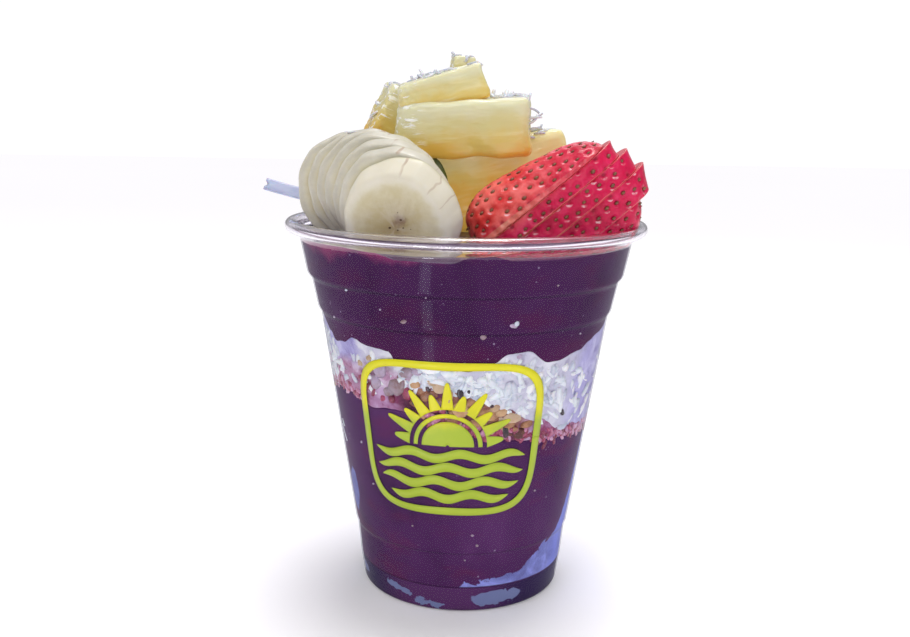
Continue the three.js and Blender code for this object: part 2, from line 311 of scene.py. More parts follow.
def put(bm, spot, turn):
    """Turns the bmesh and moves it to spot, in mm."""
    bmesh.ops.transform(bm, matrix=Matrix.Translation(Vector(spot) * MM) @ turn, verts=bm.verts)


def arc(centre, radius, start, end, steps):
    angles = [math.radians(start + (end - start) * i / steps) for i in range(steps + 1)]
    return [(centre[0] + radius * math.cos(a), centre[1] + radius * math.sin(a)) for a in angles]


def rounded(points, radius, steps=3):
    """The open line of points with its inner corners rounded."""
    line = [Vector(point) for point in points]
    result = [line[0]]
    for before, corner, after in zip(line, line[1:], line[2:]):
        back = before - corner
        ahead = after - corner
        cut = min(radius, back.length * 0.45, ahead.length * 0.45)
        start = corner + back.normalized() * cut
        end = corner + ahead.normalized() * cut
        for i in range(steps + 1):
            t = i / steps
            result.append(start * (1 - t) ** 2 + corner * 2 * t * (1 - t) + end * t * t)
    result.append(line[-1])
    return [tuple(point) for point in result]


WALL_LINE = rounded(
    [(BASE_RADIUS, BASE_ROUNDING)] + [(radius * MM, height * MM) for radius, height in OUTER_WALL],
    CORNER)


def wall_radius(height):
    """Radius of the cup's outer wall at a height."""
    if height <= WALL_LINE[0][1]:
        return WALL_LINE[0][0]
    for (low_radius, low), (high_radius, high) in zip(WALL_LINE, WALL_LINE[1:]):
        if height <= high:
            share = (height - low) / max(high - low, 1e-9)
            return low_radius + (high_radius - low_radius) * share
    return WALL_LINE[-1][0]


def around(x, y):
    """Angle in degrees from the front towards +X."""
    return math.degrees(math.atan2(x, -y))


def outwards(angle):
    """The level direction at an angle in degrees from the front."""
    turn = math.radians(angle)
    return Vector((math.sin(turn), -math.cos(turn), 0))


def from_list(pairs, angle):
    """Height in metres at an angle, smooth between the listed (degrees, mm) pairs."""
    ring = pairs + [(pairs[0][0] + 360, pairs[0][1])]
    angle = (angle + 180) % 360 - 180
    for (start, low), (end, high) in zip(ring, ring[1:]):
        if angle <= end:
            share = (angle - start) / (end - start)
            return (low + (high - low) * (1 - math.cos(math.pi * share)) / 2) * MM
    return ring[-1][1] * MM


def on_wall(angle, height, depth=0.0):
    """A point on the cup's outer wall, depth metres inside it."""
    turn = math.radians(angle)
    radius = wall_radius(height) - depth
    return Vector((radius * math.sin(turn), -radius * math.cos(turn), height))


# ---------------------------------------------------------------- camera and light
CAMERA_PLACE = (0, -0.2692, 0.1259)
CAMERA_TURN = 0.548
CAMERA_DOWN = 11.14
CAMERA_ROLL = 0.895
FOCAL_SHARE = 1000 / 910        # focal length over the frame's width
LAMP_AIM = Vector((0, 0, 0.07))
# Azimuth from the front, elevation, distance, size, power and colour of each soft lamp.
SOFT_LAMPS = {
    "key": (-32, 50, 0.6, (0.3, 0.3), 0.6, (1, 0.99, 0.98)),
    "front": (10, 24, 0.7, (0.3, 0.25), 0.42, (1, 0.99, 0.98)),
    "fill": (50, 22, 0.7, (0.4, 0.4), 0.3, (0.9, 0.93, 1)),
    "back": (165, 40, 0.7, (0.5, 0.4), 0.8, (0.93, 0.95, 1)),
}
WINDOW_PLACE = Vector((-0.04, -0.092, 0.038))
WINDOW_AIM = Vector((-0.010, -0.040, 0.083))
WINDOW_SIZE = (0.011, 0.034)
SUN_POWER = 1.8
SUN_SPREAD = 27                 # degrees
STUDIO_LIGHT = 0.37             # the room's own light, and how bright it is where it is seen
STUDIO_SEEN = 1.05
FLOOR_REACH = 3


def place_camera():
    data = bpy.data.cameras.new("camera")
    data.sensor_width = 36
    data.lens = data.sensor_width * FOCAL_SHARE
    data.clip_start = 0.01
    camera = placed("camera", data)
    camera.matrix_world = (
        Matrix.Translation(CAMERA_PLACE) @ rotation(CAMERA_TURN, "Z")
        @ rotation(90 - CAMERA_DOWN, "X") @ rotation(CAMERA_ROLL, "Z"))
    bpy.context.scene.camera = camera


def area_lamp(name, spot, away, size, power, colour):
    """A rectangular lamp at spot, whose back points away from what it lights."""
    data = bpy.data.lights.new(name, "AREA")
    data.shape = "RECTANGLE"
    data.size, data.size_y = size
    data.energy = power
    data.color = colour
    lamp = placed(name, data)
    lamp.location = spot
    lamp.rotation_euler = away.to_track_quat("Z", "Y").to_euler()
    return lamp


def place_lights():
    """Even light from straight above, soft lamps round the cup, and a narrow window low in
    front, seen only as the upright streak on the glossy wall."""
    sun = bpy.data.lights.new("overhead", "SUN")
    sun.energy = SUN_POWER
    sun.angle = math.radians(SUN_SPREAD)
    sun.color = (1, 0.99, 0.99)
    placed("overhead", sun).rotation_euler = (math.radians(-8), math.radians(4), 0)
    window = area_lamp("low_window", WINDOW_PLACE, WINDOW_PLACE - WINDOW_AIM, WINDOW_SIZE, 0.012,
                       (0.86, 0.9, 1))
    window.visible_camera = window.visible_diffuse = window.visible_transmission = False
    for name, (azimuth, elevation, distance, size, power, colour) in SOFT_LAMPS.items():
        turn = math.radians(azimuth)
        rise = math.radians(elevation)
        away = Vector((
            math.sin(turn) * math.cos(rise), -math.cos(turn) * math.cos(rise), math.sin(rise)))
        area_lamp(name, LAMP_AIM + away * distance, away, size, power, colour)
    world = bpy.data.worlds.new("studio")
    bpy.context.scene.world = world
    world.use_nodes = True
    tree = world.node_tree
    tree.nodes.clear()
    seen = node(tree, "ShaderNodeLightPath", output="Is Camera Ray")
    strength = between(seen, 0, 1, STUDIO_LIGHT, STUDIO_SEEN, smooth=False)
    light = node(tree, "ShaderNodeBackground", {"Color": (0.98, 0.98, 1, 1), "Strength": strength})
    tree.links.new(light.socket, tree.nodes.new("ShaderNodeOutputWorld").inputs["Surface"])


def lay_floor():
    bm = bmesh.new()
    bmesh.ops.create_grid(bm, x_segments=1, y_segments=1, size=FLOOR_REACH)
    mesh = mesh_of("floor", bm)
    pale, place = material("pale_floor")
    tone = noise_at(place, 0.4, 2)
    mesh.materials.append(shaded(
        pale, colour=mixed(tone, (0.92, 0.91, 0.93, 1), (0.95, 0.94, 0.96, 1)), roughness=0.9,
        specular=0.0, glow=(1, 0.985, 1, 1), glow_strength=0.12))
    floor = placed("floor", mesh)


# ---------------------------------------------------------------- cup
def blended(made, factor, first, second):
    return surface(made, node(made.node_tree, "ShaderNodeMixShader", {0: factor, 1: first, 2: second}))


def clear_wall():
    """Thin clear plastic: light passes straight on, and only its outer faces are glossy, with a
    painted reflection of the bright room as a pale glow, strongest at grazing angles.
    """
    made, place = material("clear_wall")
    tree = made.node_tree
    normal = bump(noise_at(mapped(place, (1, 1, 0.25)), 6 * MM, 2), 0.25 * MM, 0.35)
    clear = node(tree, "ShaderNodeBsdfTransparent", {"Color": (0.985, 0.985, 0.995, 1)})
    gloss = node(tree, "ShaderNodeBsdfAnisotropic", {
        "Color": (0.16, 0.16, 0.18, 1), "Roughness": 0.09, "Normal": normal})
    # Painted reflection: a pale glow that stands for the room seen in the wall.
    painted_reflection = node(tree, "ShaderNodeEmission", {"Color": (0.9, 0.9, 1, 1), "Strength": 0.22})
    edge = node(tree, "ShaderNodeFresnel", {"IOR": 1.3, "Normal": normal})
    inside = node(tree, "ShaderNodeNewGeometry", output="Backfacing")
    return blended(
        made, edge * (1 - inside), clear, node(tree, "ShaderNodeAddShader", {0: gloss, 1: painted_reflection}))


def clear_lip():
    """Thick clear plastic that bends what is behind it, and lets the lamps through."""
    made, place = material("clear_lip")
    glass = node(place.tree, "ShaderNodeBsdfGlass", {
        "Color": (0.99, 0.98, 1, 1), "Roughness": 0.03, "IOR": 1.5})
    clear = node(place.tree, "ShaderNodeBsdfTransparent", {"Color": (0.98, 0.97, 1, 1)})
    to_lamp = node(place.tree, "ShaderNodeLightPath", output="Is Shadow Ray")
    return blended(made, to_lamp, glass, clear)


def make_cup():
    foot = arc((BASE_RADIUS - BASE_ROUNDING, BASE_ROUNDING), BASE_ROUNDING, -90, 0, 5)
    inner_wall = [(radius - WALL, height) for radius, height in reversed(WALL_LINE)]
    inner_foot = arc(
        (BASE_RADIUS - WALL - BASE_ROUNDING, FLOOR + BASE_ROUNDING), BASE_ROUNDING, 0, -90, 4)
    lip = arc(LIP_CENTRE, LIP_ROLL, -125, 180, 22)
    recess = 0.3 * MM
    bm = spun(
        [(0, recess), (BASE_RADIUS - 6 * MM, recess), (BASE_RADIUS - 5 * MM, 0)] + foot
        + WALL_LINE[1:] + lip + inner_wall[:-1] + inner_foot + [(0, FLOOR)], ROUND_STEPS)
    hollow = spun(arc(LIP_CENTRE, LIP_ROLL - LIP_SHEET, 0, 360, 24), ROUND_STEPS)
    bmesh.ops.reverse_faces(hollow, faces=hollow.faces)
    join_into(bm, hollow, 1)
    for face in bm.faces:
        face.material_index = int(face.calc_center_median().z > COLLAR_BOTTOM)
    finish_piece("clear_cup", bm, [clear_wall(), clear_lip()], "clear_plastic", ["cup"])


# ---------------------------------------------------------------- layers in the cup
# Shares of the radius at which a layer's lower and upper faces have their rings.
RINGS_BELOW = [0, 0.5, 0.9]
RINGS_ABOVE = [0.985] + [i / 24 for i in range(23, -1, -1)]


def layer_shape(bottom, top, levels, relief=None, rings=RINGS_BELOW[::-1]):
    """A full layer: bottom and top are heights by (x, y), and relief moves the side inwards."""
    bm = spun(
        [(reach, 0) for reach in RINGS_BELOW] + [(1, i / levels) for i in range(levels + 1)]
        + [(reach, 1) for reach in rings], 360)
    for face in bm.faces:
        face.material_index = int(all(vert.co.z > 0.999 for vert in face.verts))
    for vert in bm.verts:
        x, y, level = vert.co
        reach = math.hypot(x, y)
        low = bottom(x, y)
        height = low + (top(x, y) - low) * level
        radius = wall_radius(height) - SKIN_DEPTH
        vert.co = Vector((x * radius, y * radius, height))
        if relief and reach > 0.999:
            inwards = 1 - relief(vert.co, level) / radius
            vert.co.x *= inwards
            vert.co.y *= inwards
    return bm


def edge_of(pairs, roughness, seed):
    """A boundary between layers: the listed heights at the wall, a little ragged."""
    mean = sum(height for _, height in pairs) / len(pairs) * MM

    def height(x, y):
        ragged = noise.fractal(Vector((x * 9, y * 9, seed)), 1.0, 2.0, 4) * roughness
        return mean + (from_list(pairs, around(x, y)) + ragged - mean) * math.hypot(x, y)
    return height


def acai_surface(x, y):
    """Height of the acai under the toppings; x and y run from -1 to 1."""
    reach = math.hypot(x, y)
    listed = from_list(ACAI_TOP, around(x, y))
    mean = sum(height for _, height in ACAI_TOP) / len(ACAI_TOP) * MM
    swirl = math.sin(3 * math.atan2(y, x) + 9 * reach) * 0.7 * MM * reach * (1 - reach)
    lumps = noise.fractal(Vector((x * 5, y * 5, 3.1)), 1.0, 2.0, 4) * 0.9 * MM * (1 - reach ** 4)
    return mean + ACAI_MOUND * (1 - reach ** 2) + (listed - mean) * reach ** 6 + swirl + lumps


def wall_position(place):
    """(degrees from the front, height) of a place on the cup, for the patterns in the layers."""
    x, y, height = parts_of(place)
    return maths("ARCTAN2", x, y * -1.0) * (180 / math.pi), height


def below_curve(angle, height, points, wobble):
    """1 below a line round the cup; points are (degrees, mm)."""
    curve = node(angle.tree, "ShaderNodeFloatCurve", {
        "Value": between(angle, -180, 180, smooth=False)})
    line = curve.node.mapping.curves[0]
    for degrees, level in points[1:-1]:
        line.points.new((degrees + 180) / 360, level / 100)
    ordered = sorted(line.points, key=lambda point: point.location[0])
    ordered[0].location = (0, points[0][1] / 100)
    ordered[-1].location = (1, points[-1][1] / 100)
    curve.node.mapping.update()
    return between(curve * (100 * MM) + wobble - height, -0.15 * MM, 0.2 * MM)


def patch_mask(angle, height, wobble, middle, level, half_turn, half_height, tilt):
    """1 inside an oval on the wall, its place and half sizes in degrees and mm."""
    along = angle - middle
    up = height + wobble - level * MM - along * (tilt * MM)
    along = maths("POWER", abs(along / half_turn), 2.4)
    up = maths("POWER", abs(up / (half_height * MM)), 2.4)
    return between(along + up, 0.85, 1.05, 1, 0)


# Where thin milk runs down inside the wall: heights in mm by angle, and ovals as angle, height,
# half width and half height, and tilt. Below the shoulder only the foot's own patches show, and
# islands are free of milk. The foot patch at 21 degrees is a painted reflection of a window.
MILK_RUN = [
    (-180, 9), (-130, 14), (-100, 6), (-62, 3), (-52, 2), (-6, 2), (0, 7.8), (8, 8.7), (23, 9.3),
    (39, 12.2), (51, 16.7), (61, 19.7), (67, 25), (73, 34), (80, 46), (90, 42), (104, 25),
    (122, 13), (180, 9),
]
MILK_PATCHES = [
    (-69, 27.5, 6.5, 5.5, 0.3), (-79, 50, 2, 6, 0.0), (-120, 38, 5, 8, 0.5),
    (150, 34, 9, 3, -0.3), (-152, 24, 6, 4, 0.2),
]
# The patch at 21 degrees is a painted reflection of a window.
FOOT_PATCHES = [
    (-36, 4.2, 9, 1.0, -0.11), (-17, 1.9, 9, 0.8, -0.05), (21, 3.6, 15, 2.1, 0.0),
    (-80, 3.5, 14, 1.6, 0.05), (110, 3.2, 16, 2, 0.0), (170, 4, 20, 1.5, 0.03),
]
ISLANDS = [(54, 17.0, 2.6, 1.0, 0.25), (62, 21.5, 1.6, 0.8, 0.3)]


def smear_mask(place):
    angle, height = wall_position(place)
    wobble = centred(noise_at(place, 3.0 * MM, 5, 0.65, 1.0), 6.0 * MM)
    mask = below_curve(angle, height, MILK_RUN, wobble)
    for island in ISLANDS:
        mask = mask * (1 - patch_mask(angle, height, 0.0, *island))
    for patch in MILK_PATCHES:
        mask = highest(mask, patch_mask(angle, height, wobble, *patch))
    mask = mask * between(height, SHOULDER_HEIGHT, SHOULDER_HEIGHT + 0.5 * MM)
    small = centred(noise_at(place, 1.6 * MM, 4, 0.6, 0.8), 4.5 * MM)
    for patch in FOOT_PATCHES:
        mask = highest(mask, patch_mask(angle, height, small, *patch))
    return mask


UPPER_ACAI = [(0.3, "#3a1b42"), (0.5, "#44214c"), (0.72, "#4e2a57")]
LOWER_ACAI = [(0.3, "#44224e"), (0.5, "#512a5b"), (0.72, "#5d3467")]
# Height in mm, half width and strength of the painted shade line under each step of the wall.
STEP_SHADES = [(76.4, 0.5, 0.55), (85.6, 0.5, 0.55), (17.0, 0.4, 0.35), (7.2, 0.35, 0.5)]


def acai_colour(place, tones, plum):
    colour = ramp(noise_at(place, 14 * MM, 4, 0.6, 0.6), tones)
    patches = between(noise_at(mapped(place, (1, 1, 2)), 7 * MM, 3), 0.5, 0.75)
    colour = mixed(patches * 0.5, colour, plum)
    dots = node(place.tree, "ShaderNodeTexVoronoi", {"Vector": place, "Scale": 1 / (2.6 * MM)},
                "Distance")
    few = between(noise_at(place, 5 * MM, 2), 0.52, 0.62)
    return mixed(between(dots, 0.07, 0.13, 1, 0) * few * 0.6, colour, "#a58fb4")


def seen_through_wall(made, place, colour):
    """Finishes acai that is pressed to the wall, with painted shade lines where the wall turns in."""
    height = wall_position(place)[1]
    # line is painted shade: a dark line under each step of the wall.
    line = 0.0
    for level, half, strength in STEP_SHADES:
        away = abs(height - level * MM)
        line = highest(line, between(away, 0.25 * half * MM, half * MM, strength, 0))
    return shaded(made, colour=mixed(line, colour, "#24102e"), roughness=0.6, specular=0.0)


def upper_acai():
    """Dark acai, redder near the band, with a pink film under the lip at the left."""
    made, place = material("acai_upper")
    angle, height = wall_position(place)
    level = height + noise_at(place, 6 * MM, 3) * (12 * MM)
    colour = acai_colour(place, UPPER_ACAI, "#521d44")
    colour = mixed(between(level, 74 * MM, 84 * MM, 0.3, 0), colour, "#601a45")
    film = between(level, 99 * MM, 103 * MM, 0, 0.75) * between(angle, -12, -4, 1, 0)
    return seen_through_wall(made, place, mixed(film, colour, "#95406a"))


def lower_acai():
    """Acai with thin milk run down the wall, and deeper tones round the foot. One pale patch on the
    foot is a painted reflection of a window.
    """
    made, place = material("acai_lower")
    angle, height = wall_position(place)
    foot = between(height, SHOULDER_HEIGHT - 0.2 * MM, SHOULDER_HEIGHT, 1, 0)
    deep = mixed(between(abs(angle + 10.0), 14, 50), "#5c3466", "#33224e")
    colour = mixed(foot, acai_colour(place, LOWER_ACAI, "#66284f"), deep)
    milk = ramp(noise_at(place, 5 * MM, 4, 0.6, 1.0), [
        (0.3, "#6465a4"), (0.5, "#7c82c6"), (0.7, "#98a0ea")])
    edge = between(angle, 52, 68, 0, 0.7) * between(angle, 76, 92, 1, 0)
    milk = mixed(edge, milk, "#8692f4")
    thin = noise_at(mapped(place, (1, 1, 0.5)), 6 * MM, 4, 0.6, 1.2)
    milk = mixed(between(thin, 0.52, 0.7, 0, 0.5), milk, "#54467c")
    # On the foot the patches take one pale blue; the patch at 21 degrees is painted reflection.
    milk = mixed(foot, milk, "#7a83b0")
    return seen_through_wall(made, place, mixed(smear_mask(place), colour, milk))


def acai_on_top():
    made, place = material("acai_on_top")
    grain = noise_at(place, 0.8 * MM, 4, 0.65)
    return shaded(
        made, colour=acai_colour(place, UPPER_ACAI, "#5c2149"), coat=0.25, coat_roughness=0.2,
        roughness=between(grain, 0.3, 0.7, 0.3, 0.5), normal=bump(grain, 0.4 * MM, 0.6))


def milk_powder():
    """Dry and white in the middle of the front, wetter and lavender round the sides."""
    made, place = material("milk_powder")
    angle, height = wall_position(place)
    clumps = noise_at(place, 3 * MM, 4, 0.62, 0.4)
    cream = ramp(clumps, [(0.3, "#a8a3bd"), (0.46, "#cbc9dc"), (0.66, "#e4e4ee")])
    wet = ramp(clumps, [(0.32, "#958dc4"), (0.5, "#b3adde"), (0.68, "#cdc9ee")])
    turn = angle + centred(clumps, 30.0)
    dry = between(turn, -52, -40) * between(turn, 42, 58, 1, 0)
    low = between(height + clumps * (6 * MM), 67 * MM, 71 * MM, 1, 0)
    soaked = ramp(noise_at(place, 1.8 * MM, 3, 0.6), [
        (0.34, "#93506f"), (0.5, "#b98fae"), (0.66, "#d4bfd6")])
    colour = mixed(between(turn, -26, -14, 1, 0) * low, mixed(dry, wet, cream), soaked)
    crumbs = noise_at(place, 0.8 * MM, 3, 0.7)
    return shaded(
        made, colour=colour, roughness=0.75, specular=0.1, normal=bump(crumbs, 0.25 * MM, 0.6))


def granola_crumb():
    made, place = material("granola_crumb")
    lumps = noise_at(place, 3.4 * MM, 4, 0.6, 0.5)
    brown = ramp(lumps, [(0.3, "#4a2040"), (0.45, "#6d3450"), (0.58, "#93604f"), (0.72, "#c09a76")])
    stained = ramp(lumps, [(0.34, "#8f3f68"), (0.5, "#b183ac"), (0.66, "#c9aace")])
    side = between(abs(wall_position(place)[0]), 22, 30)
    crumbs = noise_at(place, 0.9 * MM, 3, 0.65)
    return shaded(
        made, colour=mixed(side, brown, stained), roughness=0.6, specular=0.15,
        normal=bump(crumbs, 0.4 * MM, 0.8))


def crumbly(amount, size):
    """Hollows between the crumbs at the wall, none at the layer's upper and lower edges."""
    def relief(point, level):
        hollow = max(0, noise.fractal(point / size, 1.0, 2.0, 3) + 0.1)
        return hollow * amount * math.sin(math.pi * level)
    return relief


def make_layers():
    bottom_edge = edge_of(BAND_BOTTOM, 0.5 * MM, 1.7)
    granola_edge = edge_of(GRANOLA_TOP, 0.9 * MM, 5.3)
    band_edge = edge_of(BAND_TOP, 0.35 * MM, 9.1)
    lower = layer_shape(lambda x, y: FLOOR * 0.5, bottom_edge, 60)
    granola = layer_shape(bottom_edge, granola_edge, 20, crumbly(1.0 * MM, 2.5 * MM))
    milk = layer_shape(granola_edge, band_edge, 40, crumbly(0.8 * MM, 2 * MM))
    upper = layer_shape(band_edge, acai_surface, 56, rings=RINGS_ABOVE)
    finish_piece("acai_lower", lower, [lower_acai()] * 2, "acai", ["acai_bottom"])
    finish_piece("granola_band", granola, [granola_crumb()] * 2, "granola", ["granola_layer"])
    finish_piece("milk_band", milk, [milk_powder()] * 2, "milk_powder", ["milk_coconut_layer"])
    return finish_piece("acai_upper", upper, [upper_acai(), acai_on_top()], "acai", ["acai_top"])


# ---------------------------------------------------------------- bits against the wall
def wall_frame(angle, height, depth):
    """Axes at the wall: X along it to the right, Y up and Z outwards."""
    turn = math.radians(angle)
    right = Vector((math.cos(turn), math.sin(turn), 0))
    axes = Matrix((right, Vector((0, 0, 1)), outwards(angle))).transposed().to_4x4()
    return Matrix.Translation(on_wall(angle, height, depth)) @ axes


def tinted(bm, before, tint):
    """Gives the vertices made since before a tint, which varies the bits' colours."""
    layer = bm.verts.layers.float.get("tint") or bm.verts.layers.float.new("tint")
    bm.verts.ensure_lookup_table()
    for vert in bm.verts[before:]:
        vert[layer] = tint


def pressed_lump(bm, angle, height, size, turn, rng, front, tint=None):
    """A lump flattened by the wall: size is its width, height and depth."""
    before = len(bm.verts)
    frame_there = wall_frame(angle, height, front + size[2] / 2)
    shape = rotation(turn, "Z") @ Matrix.Diagonal((size[0] / 2, size[1] / 2, size[2] / 2, 1))
    made = bmesh.ops.create_icosphere(bm, subdivisions=2, radius=1)["verts"]
    seed = Vector((rng.random() * 50, rng.random() * 50, 0))
    for vert in made:
        vert.co *= 1 + 0.22 * noise.noise(vert.co * 1.3 + seed)
        vert.co.z = max(min(vert.co.z, PRESSED), -1) / PRESSED if vert.co.z > 0 else vert.co.z
    bmesh.ops.transform(bm, matrix=frame_there @ shape, verts=made)
    tinted(bm, before, rng.random() if tint is None else tint)


def strip_template():
    """A flat strip one unit long, tapered at its ends, as a mesh to copy."""
    bm = bmesh.new()
    bmesh.ops.create_cube(bm, size=1)
    lengthwise = [e for e in bm.edges if abs(e.verts[0].co.x - e.verts[1].co.x) > 0.5]
    bmesh.ops.subdivide_edges(bm, edges=lengthwise, cuts=5)
    for vert in bm.verts:
        vert.co.y *= 1 - 0.55 * abs(2 * vert.co.x) ** 3
    return mesh_of("strip", bm)


STRIP = strip_template()
WALL_STRIP_THICKNESS = 0.4 * MM
PRESSED = 0.62                  # share of a lump's front half that the wall leaves


def strip(bm, path, width, thickness, tint):
    """A strip along path, which gives (point, side, up) for a share from 0 to 1."""
    before = len(bm.verts)
    bm.from_mesh(STRIP)
    bm.verts.ensure_lookup_table()
    for vert in bm.verts[before:]:
        point, side, up = path(vert.co.x + 0.5)
        vert.co = point + side * vert.co.y * width + up * vert.co.z * thickness
    tinted(bm, before, tint)


def wall_strip(bm, angle, height, heading, length, bow, width, fronts, tint):
    """A shred of coconut lying along the wall; fronts are the depths of its two ends."""
    frame_there = wall_frame(angle, height, 0)
    middle_radius = wall_radius(height)
    lean = math.radians(heading)

    def path(share):
        along = (share - 0.5) * length
        offset = bow * (0.25 - (share - 0.5) ** 2) * 4
        x = along * math.cos(lean) - offset * math.sin(lean)
        y = along * math.sin(lean) + offset * math.cos(lean)
        spot_angle = angle + math.degrees(x / middle_radius)
        depth = fronts[0] + (fronts[1] - fronts[0]) * share
        point = on_wall(spot_angle, height + y, depth + WALL_STRIP_THICKNESS / 2)
        tangent = frame_there.to_3x3() @ Vector((-math.sin(lean), math.cos(lean), 0))
        return point, tangent, outwards(spot_angle)
    strip(bm, path, width, WALL_STRIP_THICKNESS, tint)


def tinted_material(name, tones, roughness, grain, shine):
    made, place = material(name)
    speckle = between(noise_at(place, 1.2 * MM, 3, 0.6), 0.3, 0.7, -0.16, 0.16)
    tint = maths("ADD", attribute(place, "tint"), speckle, clamp=True)
    return shaded(
        made, colour=ramp(tint, tones, "LINEAR"), roughness=roughness, specular=0.3,
        normal=bump(noise_at(place, grain, 3, 0.6), 0.25 * MM, 0.7), coat=shine,
        coat_roughness=0.2, subsurface=0.15, depth=0.6 * MM)


# Bits that stand out at the front: degrees, height, width and height of the bit in mm, turn, tint.
# The darkest soaked bits, tint 0.1 and under, are painted shade: dark bits in the band's gaps.
PLACED = {
    "granola": [
        (-1.1, 57.8, 4.6, 5.2, 10, 0.85), (9.6, 55.9, 5.6, 3.2, -12, 0.7),
        (3.6, 59.2, 3.2, 2.4, 20, 0.5), (-7.5, 59.2, 4.2, 2.6, -25, 0.25),
        (-14.5, 60.4, 3.6, 2.8, 30, 0.4), (15.4, 56.4, 3.4, 2.4, 15, 0.9),
        (5.2, 53.8, 3.6, 2.4, 5, 0.6), (-4.6, 54.6, 3.4, 2.6, -20, 0.35),
        (18.6, 53.2, 4.2, 2.4, -8, 0.55), (27.5, 52.6, 3.6, 2.2, 12, 0.5),
        (-18.6, 63.2, 3.0, 2.2, 10, 0.75),
    ],
    "oats": [
        (-8.9, 62.9, 4.3, 3.2, 10, 0.75), (-4.9, 60.9, 1.5, 4.4, -6, 0.55),
        (20.4, 54.8, 5.6, 3.0, 0, 0.7), (12.8, 57.6, 3.2, 2.0, 25, 0.4),
        (-12.4, 64.2, 3.0, 1.8, -30, 0.5), (-16.4, 57.4, 3.0, 2.0, 60, 0.3),
        (-38.6, 68.4, 2.4, 1.6, 20, 0.45), (-44.4, 66.4, 2.2, 1.8, -10, 0.6),
        (-41, 64.4, 1.8, 1.4, 40, 0.35),
    ],
    "grains": [
        (-22.5, 60.9, 2.8, 4.4, 12, 0.12), (-11.5, 57.4, 2.6, 2.5, 0, 0.3),
        (-8.2, 57.2, 2.4, 2.6, 20, 0.15), (-10.9, 54.7, 2.8, 2.2, -10, 0.6),
        (-14, 55.6, 2.2, 1.8, 20, 0.45), (-41.7, 60.4, 1.3, 3.4, -30, 0.0),
        (-38.4, 59.4, 1.2, 3.0, -20, 0.05), (-45.4, 62.6, 2.0, 1.2, 30, 0.35),
        (9.7, 49.6, 2.8, 2.0, -10, 0.4), (6.2, 50.6, 2.4, 1.9, 25, 0.3),
        (13, 50.4, 2.2, 1.7, 10, 0.2), (-0.2, 51.9, 2.2, 1.6, 0, 0.35),
        (-3.6, 52.4, 2.0, 1.5, 30, 0.1), (37.9, 46.2, 1.3, 2.9, -25, 0.0),
        (43.4, 46.6, 1.2, 3.2, 15, 0.05), (33.6, 47.2, 1.2, 2.2, 40, 0.1),
        (-29.6, 58.6, 1.8, 2.6, 20, 0.1), (-33.8, 58.4, 1.6, 2.0, -30, 0.25),
    ],
    "soaked": [
        (-34.6, 66.2, 4.4, 5.8, 20, 0.9), (-36.6, 62.4, 3.6, 4.2, -10, 0.8),
        (-26.4, 62.7, 5.0, 6.2, -14, 0.5), (-22.0, 66.0, 4.2, 3.0, 15, 0.65),
        (-30.5, 60.6, 3.6, 3.0, 30, 0.6), (-17.6, 66.6, 3.4, 2.2, -10, 0.8),
        (-1.2, 61.8, 1.9, 3.8, 8, 0.0), (2.2, 62.2, 1.0, 1.4, 0, 0.05),
        (7.4, 58.6, 1.0, 1.3, 30, 0.05), (11.4, 58.2, 1.2, 1.0, 0, 0.08),
        (46.2, 53.9, 1.4, 2.0, 20, 0.1), (-9.6, 58.9, 3.2, 2.2, 0, 0.4),
        (-19.4, 58.4, 1.4, 1.6, 0, 0.05), (-13.6, 62.4, 1.3, 1.6, 30, 0.08),
        (17.8, 51.2, 1.8, 3.8, 6, 0.0), (-6.2, 56.6, 1.0, 1.8, 0, 0.05),
        (17.0, 78.8, 2.2, 1.3, -20, 1.0), (-21.2, 79.2, 1.8, 1.1, 15, 0.5),
        (6.6, 76.2, 1.6, 1.9, 60, 0.45), (20.8, 70.8, 1.6, 1.3, 20, 0.9),
        (31, 88.4, 0.7, 0.5, 0, 0.7), (-30, 81.6, 0.6, 0.5, 0, 0.8), (49, 74.6, 0.7, 0.5, 0, 0.8),
        (-12.6, 85.6, 0.5, 0.5, 0, 0.8), (-57, 77, 1.0, 0.7, 30, 0.9), (-51, 44, 0.7, 0.9, 0, 0.9),
        (-46, 33, 0.9, 0.6, 20, 0.8), (5.6, 22.6, 0.9, 0.7, 0, 0.8), (8.2, 19.6, 0.8, 0.9, 0, 0.7),
        (2.4, 15.2, 0.6, 0.5, 0, 0.7), (36, 33.4, 0.6, 0.6, 0, 0.7), (21, 30, 0.5, 0.5, 0, 0.7),
        (-24, 24, 0.6, 0.5, 0, 0.6),
    ],
    "white": [
        (-12.4, 67.4, 5.6, 2.3, 4, 0.9), (-6.2, 66.6, 3.6, 2.2, -8, 0.8),
        (-18.2, 68.4, 3.8, 1.8, 10, 0.75), (18.1, 79.3, 1.5, 1.4, 40, 0.2),
        # The tiny bit at 0.4 degrees is a painted highlight at the edge of the largest dark gap.
        (0.4, 60.4, 0.7, 0.7, 0, 1.0), (-44.5, 85.3, 1.0, 0.7, 20, 0.1),
    ],
}
# How thickly the coconut lies against the wall, in thousandths, by angle.
COCONUT_SHARE = [
    (-180, 800), (-70, 700), (-58, 120), (-24, 100), (-8, 420), (0, 1000), (40, 1000),
    (52, 420), (62, 140), (84, 300), (110, 800),
]
# How many bits are strewn round the cup, besides those that are listed.
CLUSTER_COUNT = 210
GRAIN_COUNT = 520
SHRED_COUNT = 950
BARE_STRETCHES = [(-75, -22), (25, 80)]     # degrees between which no clusters are strewn
# Thin threads on the wall below the band: degrees, height in mm, heading, length in mm.
THREADS = [(-70.6, 43.4, 122, 5.0), (-69.4, 46.4, 128, 2.2)]
